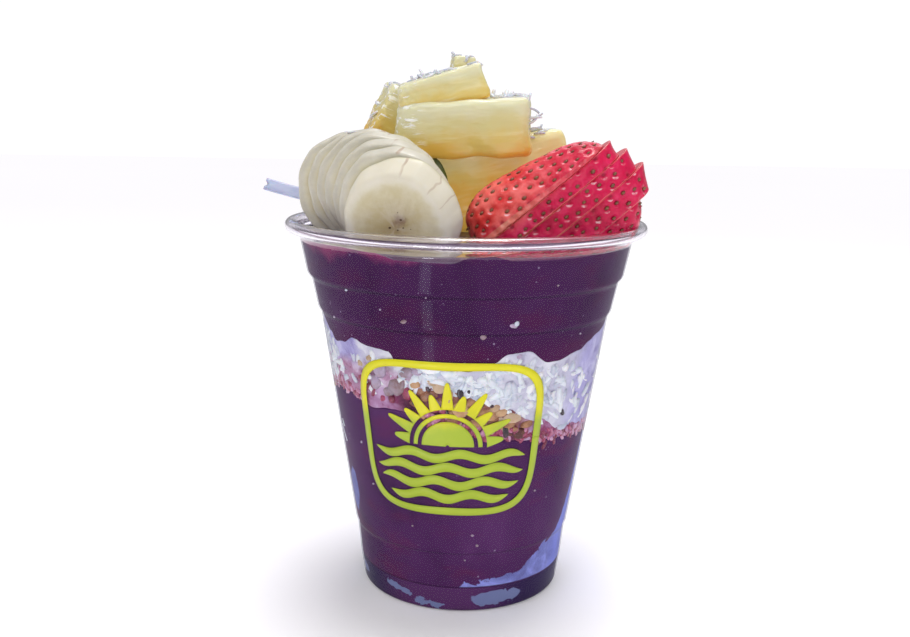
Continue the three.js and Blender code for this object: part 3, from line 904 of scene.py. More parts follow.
# For each kind of bit: its piece, slot and node, and its colours by tint, roughness, grain in mm
# and shine.
BAND_PIECES = {
    "granola": ("granola_clusters", "granola", "granola_layer", [
        (0, "#5a2f2c"), (0.35, "#8a5640"), (0.7, "#b98a62"), (1, "#cfa981")], 0.5, 0.6, 0.2),
    "oats": ("oat_flakes", "granola", "granola_layer", [
        (0, "#97705f"), (0.5, "#c0a080"), (1, "#d6c0a8")], 0.6, 0.8, 0.0),
    "grains": ("stained_grains", "granola", "granola_layer", [
        (0, "#761c3c"), (0.35, "#a83e64"), (0.65, "#c884a8"), (1, "#d3aed0")], 0.35, 0.6, 0.4),
    # Soaked: grey translucent flakes, and near black at low tint as painted shade in gaps.
    "soaked": ("soaked_flakes_and_shade_gaps", "granola", "granola_layer", [
        (0, "#22101f"), (0.12, "#3a2030"), (0.4, "#86666a"), (0.65, "#9c8795"), (1, "#b7a5c2")],
        0.3, 0.8, 0.5),
    "white": ("packed_coconut_and_glint", "coconut", "milk_coconut_layer", [
        (0, "#c6cadc"), (0.3, "#e4e7f1"), (1, "#fdfdff")], 0.5, 0.8, 0.0),
}


def spread_round(rng, count, start=-180, reach=360):
    """Angles round the cup at even steps, each a little off its place."""
    for i in range(count):
        yield start + reach * (i + rng.random()) / count


def lay_listed(bits, rng):
    for kind, listed in PLACED.items():
        for angle, height, width, tall, turn, tint in listed:
            # The darkest soaked bits, painted shade for the gaps, sit closer to the wall.
            front = 0.04 * MM if kind == "soaked" and tint < 0.1 else 0.09 * MM
            pressed_lump(bits[kind], angle, height * MM, (width * MM, tall * MM, 1.3 * MM), turn,
                         rng, front, tint)


def strew_clusters(bits, rng):
    for angle in spread_round(rng, CLUSTER_COUNT):
        low = from_list(BAND_BOTTOM, angle)
        high = from_list(GRANOLA_TOP, angle)
        height = low + (high - low) * rng.uniform(0.12, 1.0)
        if any(start < angle < end for start, end in BARE_STRETCHES):
            continue
        width = rng.uniform(2.0, 4.2) * MM
        size = (width, width * rng.uniform(0.5, 0.85), 1.5 * MM)
        target = bits["oats" if rng.random() < 0.3 else "granola"]
        pressed_lump(
            target, angle, height, size, rng.uniform(-50, 50), rng, rng.uniform(0.16, 0.36) * MM)


def strew_grains(bm, rng):
    for angle in spread_round(rng, GRAIN_COUNT, -14, 330):
        low = from_list(BAND_BOTTOM, angle)
        front = angle < 30
        height = low + rng.uniform(-0.4, 3.4 if front else 2.6) * MM
        size = (rng.uniform(1.4, 2.4) * MM, rng.uniform(0.9, 1.35) * MM, 0.9 * MM)
        tint = rng.uniform(0.0, 0.7) if front else rng.uniform(0.1, 0.9)
        pressed_lump(bm, angle, height, size, rng.uniform(20, 160), rng,
                     rng.uniform(0.1, 0.24) * MM, tint)


def strew_coconut(bm, rng):
    for angle in spread_round(rng, SHRED_COUNT):
        if rng.random() > from_list(COCONUT_SHARE, angle):
            continue
        low = from_list(GRANOLA_TOP, angle)
        high = from_list(BAND_TOP, angle)
        height = low + (high - low) * rng.uniform(-0.02, 0.86)
        fronts = [rng.uniform(0.06, 0.5) * MM for _ in range(2)]
        wall_strip(
            bm, angle, height, rng.uniform(0, 180), rng.uniform(1.8, 5.4) * MM,
            rng.uniform(-0.5, 0.5) * MM, rng.uniform(1.0, 2.1) * MM, fronts, rng.random())
    for angle, height, heading, length in THREADS:
        wall_strip(bm, angle, height * MM, heading, length * MM, 0.2 * MM, 0.35 * MM,
                   (0.1 * MM, 0.1 * MM), 0.3)


def make_band_bits():
    rng = random.Random(5)
    bits = {kind: bmesh.new() for kind in PLACED}
    lay_listed(bits, rng)
    strew_clusters(bits, rng)
    strew_grains(bits["grains"], rng)
    strew_coconut(bits["white"], rng)
    for kind, (name, slot, layer, tones, roughness, grain, shine) in BAND_PIECES.items():
        look = tinted_material(name, tones, roughness, grain * MM, shine)
        finish_piece(name, bits[kind], [look], slot, [layer])


# ---------------------------------------------------------------- print on the wall
PRINT_ANGLE = -6
PRINT_HEIGHT = 49 * MM
PRINT_WIDTH = 48 * MM
PRINT_TALL = 41 * MM
INK = 0.05 * MM
FRAME_LINE = 2.1 * MM
HORIZON = -1.5 * MM
SUN_RADIUS = 6.6 * MM
RAY_COUNT = 11
WAVE_REACHES = (20.4, 20.2, 19.2, 16.6)     # half widths of the waves in mm, from the top


def patch(bm, columns, rows, place):
    """A grid of faces whose corners go where place(u, v) says, u and v from 0 to 1."""
    made = bmesh.ops.create_grid(bm, x_segments=columns, y_segments=rows, size=0.5)
    for vert in made["verts"]:
        x, y = place(vert.co.x + 0.5, vert.co.y + 0.5)
        vert.co = Vector((x, y, 0))


def frame_reach(turn):
    """Distance of the print's outer edge from its middle, a rounded box."""
    across = abs(math.cos(turn)) / (PRINT_WIDTH / 2)
    up = abs(math.sin(turn)) / (PRINT_TALL / 2)
    return (across ** 4.5 + up ** 4.5) ** (-1 / 4.5)


def sun_and_waves():
    """Flat shapes on X across and Y up: a frame, a rising sun with rays, and waves."""
    bm = bmesh.new()

    def ring(u, v):
        turn = math.tau * u
        reach = frame_reach(turn) - FRAME_LINE * (1 - v)
        return reach * math.cos(turn), reach * math.sin(turn)
    patch(bm, 220, 2, ring)

    def half_disc(inner, outer):
        def place(u, v):
            turn = math.pi * u
            reach = inner + (outer - inner) * v
            return reach * math.cos(turn), HORIZON + reach * math.sin(turn)
        return place
    patch(bm, 40, 8, half_disc(0.4 * MM, SUN_RADIUS))
    patch(bm, 48, 2, half_disc(SUN_RADIUS + 1 * MM, SUN_RADIUS + 2.1 * MM))
    for i in range(RAY_COUNT):
        middle = math.pi * (i + 0.5) / RAY_COUNT
        near = SUN_RADIUS + 3.2 * MM
        far = min(frame_reach(middle) - 3.4 * MM, SUN_RADIUS + (10.2 if i % 2 else 7.4) * MM)

        def ray(u, v, middle=middle, near=near, far=far):
            reach = near + (far - near) * v
            half = 1.25 * MM * (1 - v) ** 0.6 + 0.25 * MM
            turn = middle + (0.5 - u) * 2 * half / reach
            return reach * math.cos(turn), HORIZON + reach * math.sin(turn)
        patch(bm, 4, 12, ray)
    for row, wave_reach in enumerate(WAVE_REACHES):
        middle = HORIZON - (2.7 + 3.7 * row) * MM

        def wave(u, v, middle=middle, wave_reach=wave_reach * MM, row=row):
            x = (2 * u - 1) * wave_reach
            swing = 0.75 * MM * math.sin(x / (2.05 * MM) + 1.6 * row)
            thick = 2.5 * MM * (1 - (2 * u - 1) ** 8)
            return x, middle + swing + (v - 0.5) * thick
        patch(bm, 90, 2, wave)
    return bm


def ink_material():
    """Lime over the dark acai and yellow over the white band."""
    made, place = material("printed_ink")
    cloud = noise_at(place, 4 * MM, 3)
    over_white = between(wall_position(place)[1] + centred(cloud, 8 * MM), 51 * MM, 57 * MM)
    lime = mixed(cloud, "#a6bd2f", "#b9cc40")
    yellow = mixed(cloud, "#d9d61a", "#ece31c")
    pits = noise_at(place, 0.35 * MM, 2)
    return shaded(
        made, colour=mixed(over_white, lime, yellow), roughness=0.38, specular=0.35,
        normal=bump(pits, 0.05 * MM, 0.4))


def make_print():
    bm = sun_and_waves()
    for vert in bm.verts:
        x, y, _ = vert.co
        angle = PRINT_ANGLE + math.degrees(x / wall_radius(PRINT_HEIGHT))
        vert.co = on_wall(angle, PRINT_HEIGHT + y, -INK)
    bm.normal_update()
    inward = [f for f in bm.faces if f.normal.dot(f.calc_center_median() * Vector((1, 1, 0))) < 0]
    bmesh.ops.reverse_faces(bm, faces=inward)
    bmesh.ops.solidify(bm, geom=bm.faces[:], thickness=INK * 0.8)
    finish_piece("wall_print", bm, [ink_material()], "clear_plastic", ["cup"])


# ---------------------------------------------------------------- banana
BANANA_FRONT = (-15.4, -29.5, 103)
BANANA_FAN = {"left": 9.6, "left_growth": 6, "back": 30.5, "rise": 17, "fall": 11.5,
              "lean": (12, -3), "turn": (-15, -8)}
# How much the front face is smaller, and how far it lies to the side in mm, on the first slice
# and on the others.
BANANA_TAPER = [(0.1, (-1.2, -2.1)), (0.03, (-0.3, -0.5))]
CORE = (1.4 * MM, 2.0 * MM)        # the middle of the seeds on the slice's face
# Seeds as x, y and radius in mm from the core.
BANANA_SEEDS = [
    (0.2, 0.3, 0.42), (-2.7, -1.8, 0.34), (-0.7, -2.3, 0.26), (0.7, -1.7, 0.24), (-0.4, 2.1, 0.22),
    (2.6, -1.9, 0.2),
]
FACE_RAYS = 38.0                # fine rays on the slice's face
CORE_ARMS = 3.0                 # pale arms between the seeds
BRUISES = [(1.42, 0.045), (0.45, 0.02), (0.8, 0.015)]   # turn and half width; the last two are faint


def bruise_line(turn, place, at, width):
    """A thin brown line along the fruit at an angle round it, as on a peeled banana."""
    broken = between(noise_at(place, 3.4 * MM, 2), 0.36, 0.5)
    return between(abs(turn - at), 0.25 * width, width, 1, 0) * broken


def banana_flesh():
    made, place = material("banana_flesh", "slice_place")
    x, y, depth = parts_of(place)
    turn = maths("ARCTAN2", y, x)
    fibres = noise_at(mapped(place, (1, 1, 0.15)), 1.3 * MM, 4, 0.6)
    reach = length_of(node(place.tree, "ShaderNodeCombineXYZ", {0: x, 1: y}))
    share = (reach + centred(fibres, 2.2 * MM)) / BANANA["radius"]
    side = mixed(between(depth, 10 * MM, 30 * MM), "#e6dfca", "#cfcaba")
    face = ramp(share, [(0.0, "#b79f6c"), (0.4, "#c8b887"), (0.72, "#d3c79d"), (0.92, "#e3dcc2")])
    face = mixed(between(share, 0.8, 0.95), face, side)
    core = mapped(place, (1, 1, 0), (-CORE[0], -CORE[1], 0))
    spread = length_of(core) + noise_at(core, 1.3 * MM, 3, 0.6) * (5.5 * MM)
    face = mixed(between(spread, 3.2 * MM, 5.6 * MM, 0.85, 0), face, "#8a6442")
    rays = between(maths("COSINE", turn * FACE_RAYS), 0.2, 1)
    face = mixed(rays * between(share, 0.15, 0.6, 1, 0) * 0.16, face, "#b3a27c")
    arms = between(maths("COSINE", turn * CORE_ARMS), 0.6, 1) * between(share, 0.1, 0.55, 1, 0)
    face = mixed(arms * 0.3, face, "#e3dcc0")
    mottle = noise_at(place, 2.4 * MM, 4, 0.6)
    face = mixed(between(mottle, 0.35, 0.75, 0, 0.3), face, "#f1ede2")
    # Painted shade: darker yellow-green in the groove where each slice meets the next.
    face = mixed(between(attribute(place, "groove_shade"), 0.1, 0.9, 0, 0.85), face, "#b5b283")
    wandering = turn + centred(noise_at(place, 3 * MM, 2), 0.35)
    line, *faint = [bruise_line(wandering, place, at, width) for at, width in BRUISES]
    line = highest(line, highest(*faint) * 0.5)
    face = mixed(line * between(share, 0.93, 0.98) * 0.7, face, "#a9876a")
    return shaded(
        made, colour=face, roughness=0.42, normal=bump(fibres + rays * 0.08, 0.22 * MM, 0.5),
        subsurface=0.3, depth=1.2 * MM, radius=(1, 0.85, 0.6), coat=0.2, coat_roughness=0.2)


def dark_seed():
    made, place = material("banana_seed")
    tone = noise_at(place, 0.4 * MM, 2)
    return shaded(made, colour=mixed(tone, "#3c2a18", "#7a5c38"), roughness=0.5)


def banana_frame(index):
    place = index / (BANANA["count"] - 1)
    fan = BANANA_FAN
    middle = Vector((
        BANANA_FRONT[0] - fan["left"] * place - fan["left_growth"] * place ** 2,
        BANANA_FRONT[1] + fan["back"] * place,
        BANANA_FRONT[2] + fan["rise"] * place - fan["fall"] * place ** 2)) * MM
    lean = fan["lean"][0] + (fan["lean"][1] - fan["lean"][0]) * place
    turn = fan["turn"][0] + (fan["turn"][1] - fan["turn"][0]) * place
    return Matrix.Translation(middle) @ (rotation(turn, "Z") @ rotation(90 + lean, "X"))


def banana_slice(index, materials):
    """One slice; its front face is smaller than its back, more so on the first."""
    thickness = BANANA["front"] if index == 0 else BANANA["thickness"]
    half = thickness / 2
    outer = BANANA["radius"] * (1 - 0.008 * (index % 3))
    rounding = (0.9 if index == 0 else 0.75) * MM
    corner = (outer - rounding, half - rounding)
    face = [(outer - rounding) * i / 22 for i in range(22)]
    profile = (
        [(reach, -half) for reach in face[::3]]
        + arc((corner[0], -corner[1]), rounding, -90, 0, 5)
        + [(outer, half * (i / 4 - 0.5)) for i in (1, 2, 3)]
        + arc(corner, rounding, 0, 90, 5)
        + [(reach, half) for reach in reversed(face)])
    bm = spun(profile, 132)
    shrink, slide = BANANA_TAPER[min(index, 1)]
    layer = bm.verts.layers.float_vector.new("slice_place")
    groove_shade = bm.verts.layers.float.new("groove_shade")
    for vert in bm.verts:
        x, y, z = vert.co
        reach = math.hypot(x, y)
        turn = math.atan2(y, x)
        uneven = 1 + 0.012 * math.cos(5 * turn + index) + 0.008 * math.cos(11 * turn + 2 * index)
        uneven += 0.012 * noise.noise(Vector((3 * math.cos(turn), 3 * math.sin(turn), index)))
        core = 0.22 * MM * math.exp(-(reach / (0.35 * outer)) ** 2)
        dent = noise.noise(Vector((x, y, index * MM)) / (2.2 * MM)) * 0.14 * MM
        side = 1 if z > 0 else -1
        forward = min(max((z + half) / thickness, 0), 1)
        drawn = forward ** 1.4
        vert[layer] = (x, y, z + index * 40 * MM)
        # This marks the back rim of the slice, where the painted shade of the groove goes.
        vert[groove_shade] = max(0, 1 - forward * 3.2) * (reach > 0.8 * outer)
        vert.co = (
            x * uneven * (1 - shrink * drawn) + slide[0] * drawn * MM,
            y * uneven * (1 - shrink * drawn) + slide[1] * drawn * MM,
            z - side * core * (abs(z) > 0.9 * half) + dent)
    seeds = bmesh.new()
    for x, y, size in BANANA_SEEDS:
        spot = Matrix.Translation((
            (x + CORE[0] * 1000 + slide[0]) * MM, (y + CORE[1] * 1000 + slide[1]) * MM,
            half - 0.26 * MM))
        bmesh.ops.create_icosphere(
            seeds, subdivisions=2, radius=1,
            matrix=spot @ Matrix.Diagonal((size * MM, size * 0.8 * MM, 0.24 * MM, 1)))
    join_into(bm, seeds, 1)
    bmesh.ops.transform(bm, matrix=banana_frame(index), verts=bm.verts)
    name = f"banana_slice_{index + 1}"
    return finish_piece(name, bm, materials, "banana_flesh", [f"banana_{index + 1}"])


def make_bananas():
    materials = [banana_flesh(), dark_seed()]
    return [banana_slice(index, materials) for index in range(BANANA["count"])]


# ---------------------------------------------------------------- strawberry
STRAWBERRY_CENTRE = (22.6, -18.5, 102.2)
STRAWBERRY_LEAN = 40
STRAWBERRY_SLIDES = [0, 0.8, 2.2, 3.2, 0.4]
STRAWBERRY_BACK = 0.8
CUT_GAP = 0.05 * MM
SEED_SPACING = 3.1 * MM
DIMPLE = 0.92 * MM
SLIMMING = 0.3                  # how much the first slice is drawn in at its upper end
GLINT_REACH = 1.05 * MM         # the lit arc's distance from the seed, and its width
GLINT_WIDTH = 0.3 * MM
GLINT_SIDE = Vector((-0.55, 0, -0.83))
FLESH_RIMS = [1.5 * MM, 0.3 * MM, 0.25 * MM, 0.2 * MM]


def berry_radius(along):
    """Half width of the berry at a place from -1, the calyx end, to 1, the tip."""
    return max(0, 1 - abs(along) ** 4) ** 0.42 * (1 - 0.09 * along) * STRAWBERRY_WIDTH / 2


def berry_point(along, turn):
    radius = berry_radius(along)
    return Vector((
        along * STRAWBERRY_LENGTH / 2,
        -radius * math.cos(turn) * STRAWBERRY_DEPTH / STRAWBERRY_WIDTH,
        radius * math.sin(turn)))


def turns_round_berry(count, offset):
    """Turns round the berry that lie at even steps along its oval section."""
    reached = [0]
    for i in range(360):
        turn = math.tau * (i + 0.5) / 360
        reached.append(reached[-1] + math.hypot(
            STRAWBERRY_DEPTH * math.sin(turn), STRAWBERRY_WIDTH * math.cos(turn)))
    turns = []
    for k in range(count):
        goal = reached[-1] * ((k + offset) / count % 1)
        turns.append(math.tau * bisect.bisect(reached, goal) / 360)
    return turns


def seed_points():
    """Rows of seeds round the berry, staggered, a little uneven."""
    rng = random.Random(11)
    points = []
    rows = round(STRAWBERRY_LENGTH / (SEED_SPACING * 0.85))
    for row in range(1, rows):
        along = -1 + 2 * row / rows
        section = berry_radius(along) * math.pi * (1 + STRAWBERRY_DEPTH / STRAWBERRY_WIDTH)
        count = max(5, round(section / SEED_SPACING))
        for turn in turns_round_berry(count, 0.5 * (row % 2)):
            points.append(berry_point(
                along + rng.uniform(-0.018, 0.018), turn + rng.uniform(-0.05, 0.05)))
    return points


def dimpled_berry(seeds):
    """The whole berry with a dimple round each seed. Its attributes hold the dimple's depth and
    the lit arc at the dimple's lower left."""
    rows = 150
    profile = []
    for i in range(rows + 1):
        along = -math.cos(math.pi * i / rows)
        profile.append((berry_radius(along), along * STRAWBERRY_LENGTH / 2))
    bm = spun(profile, 300)
    bmesh.ops.rotate(bm, verts=bm.verts, matrix=Matrix.Rotation(math.pi / 2, 3, "Y"))
    bmesh.ops.scale(
        bm, verts=bm.verts, vec=(1, STRAWBERRY_DEPTH / STRAWBERRY_WIDTH, 1))
    bm.normal_update()
    tree = KDTree(len(seeds))
    for i, point in enumerate(seeds):
        tree.insert(point, i)
    tree.balance()
    layer = bm.verts.layers.float.new("dimple")
    glint = bm.verts.layers.float.new("glint")
    moves = []
    for vert in bm.verts:
        seed, index, distance = tree.find(vert.co)
        hollow = math.exp(-(distance / DIMPLE) ** 2)
        swell = noise.noise(vert.co / (6 * MM)) * 0.35 * MM
        lit = (vert.co - seed).normalized().dot(GLINT_SIDE)
        band = math.exp(-((distance - GLINT_REACH) / GLINT_WIDTH) ** 2)
        vert[layer] = hollow
        vert[glint] = band * max(0, lit) ** 2 * (0.35 + 0.65 * (index * 7 % 5) / 4)
        moves.append(vert.normal * (swell - hollow * 0.5 * MM))
    for vert, move in zip(bm.verts, moves):
        vert.co += move
    return bm


def cut_at(bm, height, keep_above, rim):
    """Cuts the berry across local Z and closes it; the flesh shows in a slanted rim of the cut."""
    side = 1 if keep_above else -1
    for level in (height + side * rim, height):
        geometry = bm.verts[:] + bm.edges[:] + bm.faces[:]
        bmesh.ops.bisect_plane(
            bm, geom=geometry, plane_co=(0, 0, level), plane_no=(0, 0, 1), dist=1e-7,
            clear_inner=keep_above and level == height,
            clear_outer=not keep_above and level == height)
    border = [edge for edge in bm.edges if edge.is_boundary]
    for face in bm.faces:
        if abs(face.calc_center_median().z - height) < rim:
            face.material_index = 1
    made = bmesh.ops.holes_fill(bm, edges=border, sides=0)
    cap = made["faces"]
    inset = bmesh.ops.inset_region(
        bm, faces=cap, thickness=0.5 * MM, depth=0, use_even_offset=True)
    for face in list(cap) + list(inset["faces"]):
        face.material_index = 1
    ring = {vert for edge in border if edge.is_valid for vert in edge.verts}
    for vert in ring:
        flat = Vector((vert.co.x, vert.co.y, 0))
        vert.co -= flat.normalized() * min(rim * 0.3, 0.4 * MM)


def strawberry_skin():
    made, place = material("strawberry_skin", "berry_place")
    along, _, across = parts_of(place)
    tone = noise_at(place, 3 * MM, 4, 0.62)
    red = ramp(tone, [(0.3, "#b80239"), (0.5, "#d80c4c"), (0.72, "#ea3068")])
    first = between(across + centred(tone, 8 * MM), 4.5 * MM, 11 * MM)
    first = first * between(along, -9 * MM, 14 * MM, 0.9, 0.25)
    red = mixed(first, red, mixed(between(tone, 0.4, 0.62), "#e23c38", "#fa766c"))
    # Painted shade: darker red in the hollow of each dimple.
    red = mixed(between(attribute(place, "dimple"), 0.45, 0.95) * 0.65, red, "#8a0526")
    # Painted highlight: pale pink glints on the arc at each dimple's lower left, in patches.
    patchy = between(noise_at(place, 1.3 * MM, 3), 0.42, 0.6, 0.1, 1)
    lit = between(attribute(place, "glint"), 0.22, 0.6) * patchy
    pores = noise_at(place, 0.6 * MM, 3, 0.6)
    return shaded(
        made, colour=mixed(lit * 0.8, red, "#fdd3da"), roughness=0.35, specular=0.2,
        normal=bump(pores, 0.14 * MM, 0.6), subsurface=0.12, depth=1.0 * MM,
        radius=(1, 0.15, 0.2), coat=0.22, coat_roughness=0.07)


def strawberry_flesh():
    made, place = material("strawberry_flesh", "berry_place")
    veins = noise_at(mapped(place, (0.3, 1, 1)), 1.4 * MM, 3, 0.6)
    pale = ramp(veins, [(0.3, "#d24a4c"), (0.5, "#e4705f"), (0.7, "#ee9c86")])
    deep = ramp(veins, [(0.3, "#d02040"), (0.6, "#e04a58")])
    colour = mixed(between(parts_of(place)[0], -9 * MM, 5 * MM), pale, deep)
    return shaded(
        made, colour=colour, roughness=0.35, normal=bump(veins, 0.3 * MM, 0.6),
        subsurface=0.2, depth=1.2 * MM, radius=(1, 0.35, 0.25), coat=0.3, coat_roughness=0.15)


def strawberry_seed():
    made, place = material("strawberry_seed")
    colour = mixed(noise_at(place, 2.5 * MM, 1), "#9a6a3c", "#5c2a20")
    return shaded(made, colour=colour, roughness=0.4, coat=0.3, coat_roughness=0.2)


def pointed(vert, lower, upper):
    """How far a slice's tip corner is drawn out, so that the slices end in a saw edge."""
    share = min(max((vert.co.z - lower) / (upper - lower), 0), 1)
    end = min(max(vert.co.x / (STRAWBERRY_LENGTH / 2) - 0.55, 0) / 0.4, 1)
    return 1.3 * MM * share ** 2 * end ** 2


def slimmed(bm, lower):
    """Draws the first slice in towards its cut over the upper half of the berry."""
    for vert in bm.verts:
        share = min(max(vert.co.x / STRAWBERRY_LENGTH + 0.3, 0), 0.7) / 0.7
        share *= share * (3 - 2 * share)
        vert.co.z = lower + (vert.co.z - lower) * (1 - SLIMMING * share)


def make_strawberry():
    materials = [strawberry_skin(), strawberry_flesh(), strawberry_seed()]
    seeds = seed_points()
    whole = dimpled_berry(seeds)
    angle = math.radians(STRAWBERRY_LEAN)
    lean = Matrix.Rotation(-angle, 4, "Y")
    direction = Vector((math.cos(angle), 0, math.sin(angle)))
    last = len(STRAWBERRY_SLICES) - 1
    upper = STRAWBERRY_WIDTH / 2
    made = []
    for index, slice_width in enumerate(STRAWBERRY_SLICES):
        lower = upper - slice_width + CUT_GAP
        bm = whole.copy()
        if index > 0:
            cut_at(bm, upper, False, 0.25 * MM)
        if index < last:
            cut_at(bm, lower, True, FLESH_RIMS[index])
        layer = bm.verts.layers.float_vector.new("berry_place")
        for vert in bm.verts:
            vert[layer] = vert.co.copy()
            if 0 < index < last:
                vert.co.x += pointed(vert, lower, upper)
        inside = [
            p for p in seeds
            if (index == last or p.z > lower + FLESH_RIMS[index] + 0.3 * MM)
            and (index == 0 or p.z < upper - 0.7 * MM)]
        join_into(bm, berry_seeds(inside, index), 2)
        if index == 0:
            slimmed(bm, lower)
        middle = Vector(STRAWBERRY_CENTRE) * MM + direction * STRAWBERRY_SLIDES[index] * MM
        middle.y += STRAWBERRY_BACK * index * MM
        bmesh.ops.transform(bm, matrix=Matrix.Translation(middle) @ lean, verts=bm.verts)
        bmesh.ops.triangulate(bm, faces=[face for face in bm.faces if len(face.verts) > 4])
        made.append(finish_piece(
            f"strawberry_slice_{index + 1}", bm, materials, "strawberry_skin",
            [f"strawberry_{index + 1}"]))
        upper -= slice_width
    whole.free()
    return made


def berry_seeds(points, index):
    """Small pointed seeds, each lying in its dimple along the berry."""
    bm = bmesh.new()
    rng = random.Random(70 + index)
    for point in points:
        out = Vector((0, point.y / STRAWBERRY_DEPTH ** 2, point.z / STRAWBERRY_WIDTH ** 2))
        out.normalize()
        along = Vector((1, 0, 0))
        side = out.cross(along).normalized()
        turn = Matrix((along, side, out)).transposed().to_4x4()
        size = rng.uniform(0.68, 0.85) * MM
        spot = Matrix.Translation(point - out * 0.36 * MM)
        bmesh.ops.create_icosphere(
            bm, subdivisions=1, radius=1,
            matrix=spot @ turn @ Matrix.Diagonal((0.95 * size, 0.58 * size, 0.4 * size, 1)))
    return bm


# ---------------------------------------------------------------- pineapple
PINEAPPLE = [
    ("low", (9.5, 6, 109.4), (36, 22, 23), (0, -12, 4), 0.1),
    ("base", (-17, 14, 105.5), (22, 19, 21), (0, 4, -12), -0.1),
    ("middle", (-0.8, -1.2, 124.4), (34.5, 24, 15), (3, -3, -4), 0.06),
    ("left", (-18.6, 12, 125.6), (15, 14, 17), (0, 24, 14), -0.1),
    ("top", (-6.8, -3, 133.8), (22.5, 15, 9.2), (4, -15, 5), 0.12),
    ("tip", (-1.8, 9, 137.2), (6.4, 7, 12), (-6, 3, 10), 0),
]
BOXINESS = 9
CHUNK_CUTS = 47
# The golden tones are partly the flesh's own deeper yellow, partly painted shade.
GOLDEN_SHIFT = 0.7              # how far the low chunk's colour is shifted from pale to golden


def pineapple_flesh(name, glow, back_shade=0):
    """Wet, waxy flesh: pale above, golden below, with white streaks where the fibres are cut; the
    golden is partly painted shade and the white streaks are painted wet highlights. Its painted glow
    falls off by back_shade towards the back of the chunk."""
    made, place = material(name, "chunk_place")
    fibres = noise_at(mapped(place, (0.16, 1, 1)), 1.3 * MM, 4, 0.55, 0.3)
    level = parts_of(attribute(place, "chunk_share", "Vector"))[2]
    height = level + centred(noise_at(place, 5 * MM, 3, 0.5), 1.6)
    # Partly painted shade: golden low on each chunk, pale high on it.
    colour = ramp(between(height, -1, 1, smooth=False), [
        (0.1, "#d8ae4c"), (0.3, "#d6bd68"), (0.58, "#d2c68a"), (0.9, "#d5d2ae")])
    colour = mixed(between(fibres, 0.5, 0.75, 0, 0.25), colour, "#f3efcf")
    colour = mixed(between(fibres, 0.28, 0.42, 0.2, 0), colour, "#c4a648")
    # Painted highlight: white wet glints in slanted streaks at the left ends of the chunks.
    slant = mapped(place, (0.22, 1, 1.3), rotation=(0, 30, 0))
    wet = between(noise_at(slant, 0.8 * MM, 3, 0.6), 0.54, 0.62) * attribute(place, "wet")
    colour = mixed(wet * 0.75, colour, "#ffffff")
    # Painted light: the flesh glows in its own colour; on the low chunk the glow fades to the back.
    inner = colour
    if back_shade:
        behind = between(parts_of(place)[1], -9 * MM, 2 * MM, 0, back_shade)
        inner = mixed(behind, colour, "#000000")
    return shaded(
        made, colour=colour, roughness=0.3, normal=bump(fibres * 0.5 + wet, 0.35 * MM, 0.6),
        subsurface=0.5, depth=3.2 * MM, radius=(1, 0.85, 0.4), coat=0.4, coat_roughness=0.1,
        glow=inner, glow_strength=glow)


def chunk_shape(size, taper, seed, golden):
    """A soft-edged block; golden shifts its colour from pale to golden."""
    bm = bmesh.new()
    bmesh.ops.create_cube(bm, size=2)
    bmesh.ops.subdivide_edges(bm, edges=bm.edges, cuts=CHUNK_CUTS, use_grid_fill=True)
    layer = bm.verts.layers.float_vector.new("chunk_place")
    shares = bm.verts.layers.float_vector.new("chunk_share")
    wet = bm.verts.layers.float.new("wet")
    width, depth, height = (side * MM for side in size)
    for vert in bm.verts:
        u, v, w = (math.copysign(abs(c) ** 0.8, c) for c in vert.co)
        roundness = (abs(u) ** BOXINESS + abs(v) ** BOXINESS + abs(w) ** BOXINESS) ** (1 / BOXINESS)
        uneven = 1 + 0.02 * (math.sin(4 * u + 3 * w) + math.cos(5 * v - 2 * u))
        scale = uneven / roundness
        spot = Vector((
            u * scale * width / 2,
            v * scale * depth / 2 * (1 + taper * u),
            w * scale * height / 2 * (1 + 0.6 * taper * u)))
        vert.co = spot
        vert[layer] = spot + Vector((seed * 0.1, 0, 0))
        vert[shares] = (u, v, w - golden)
        # This marks the left ends, for the painted white glints and the rougher cut fibres.
        vert[wet] = 0 if golden else min(max((-u - 0.5) / 0.25, 0), 1)
    bm.normal_update()
    moves = []
    for vert in bm.verts:
        across = Vector((vert.co.x * 0.16, vert.co.y, vert.co.z)) / (1.8 * MM)
        furrow = noise.fractal(across + Vector((seed * 7, 0, 0)), 0.8, 2.0, 3)
        lump = noise.noise(vert.co / (6 * MM) + Vector((seed * 3, 0, 0)))
        cut_end = vert[wet] * noise.noise(vert.co / (1.1 * MM)) * 0.25
        moves.append(vert.normal * (furrow * 0.14 + lump * 0.55 + cut_end - 0.15) * MM)
    for vert, move in zip(bm.verts, moves):
        vert.co += move
    return bm


def make_pineapple():
    # Painted light: every chunk glows a little, the shaded low chunk most.
    flesh = pineapple_flesh("pineapple_flesh", 0.16)
    low_flesh = pineapple_flesh("pineapple_flesh_low", 0.38, 0.75)
    made = []
    for seed, (part, spot, size, turn, taper) in enumerate(PINEAPPLE):
        lowest = part == "low"
        bm = chunk_shape(size, taper, seed, GOLDEN_SHIFT if lowest else 0)
        put(bm, spot, turned(turn))
        made.append(finish_piece(
            f"pineapple_chunk_{part}", bm, [low_flesh if lowest else flesh], "pineapple_flesh",
            [f"pineapple_{part}"]))
    return made


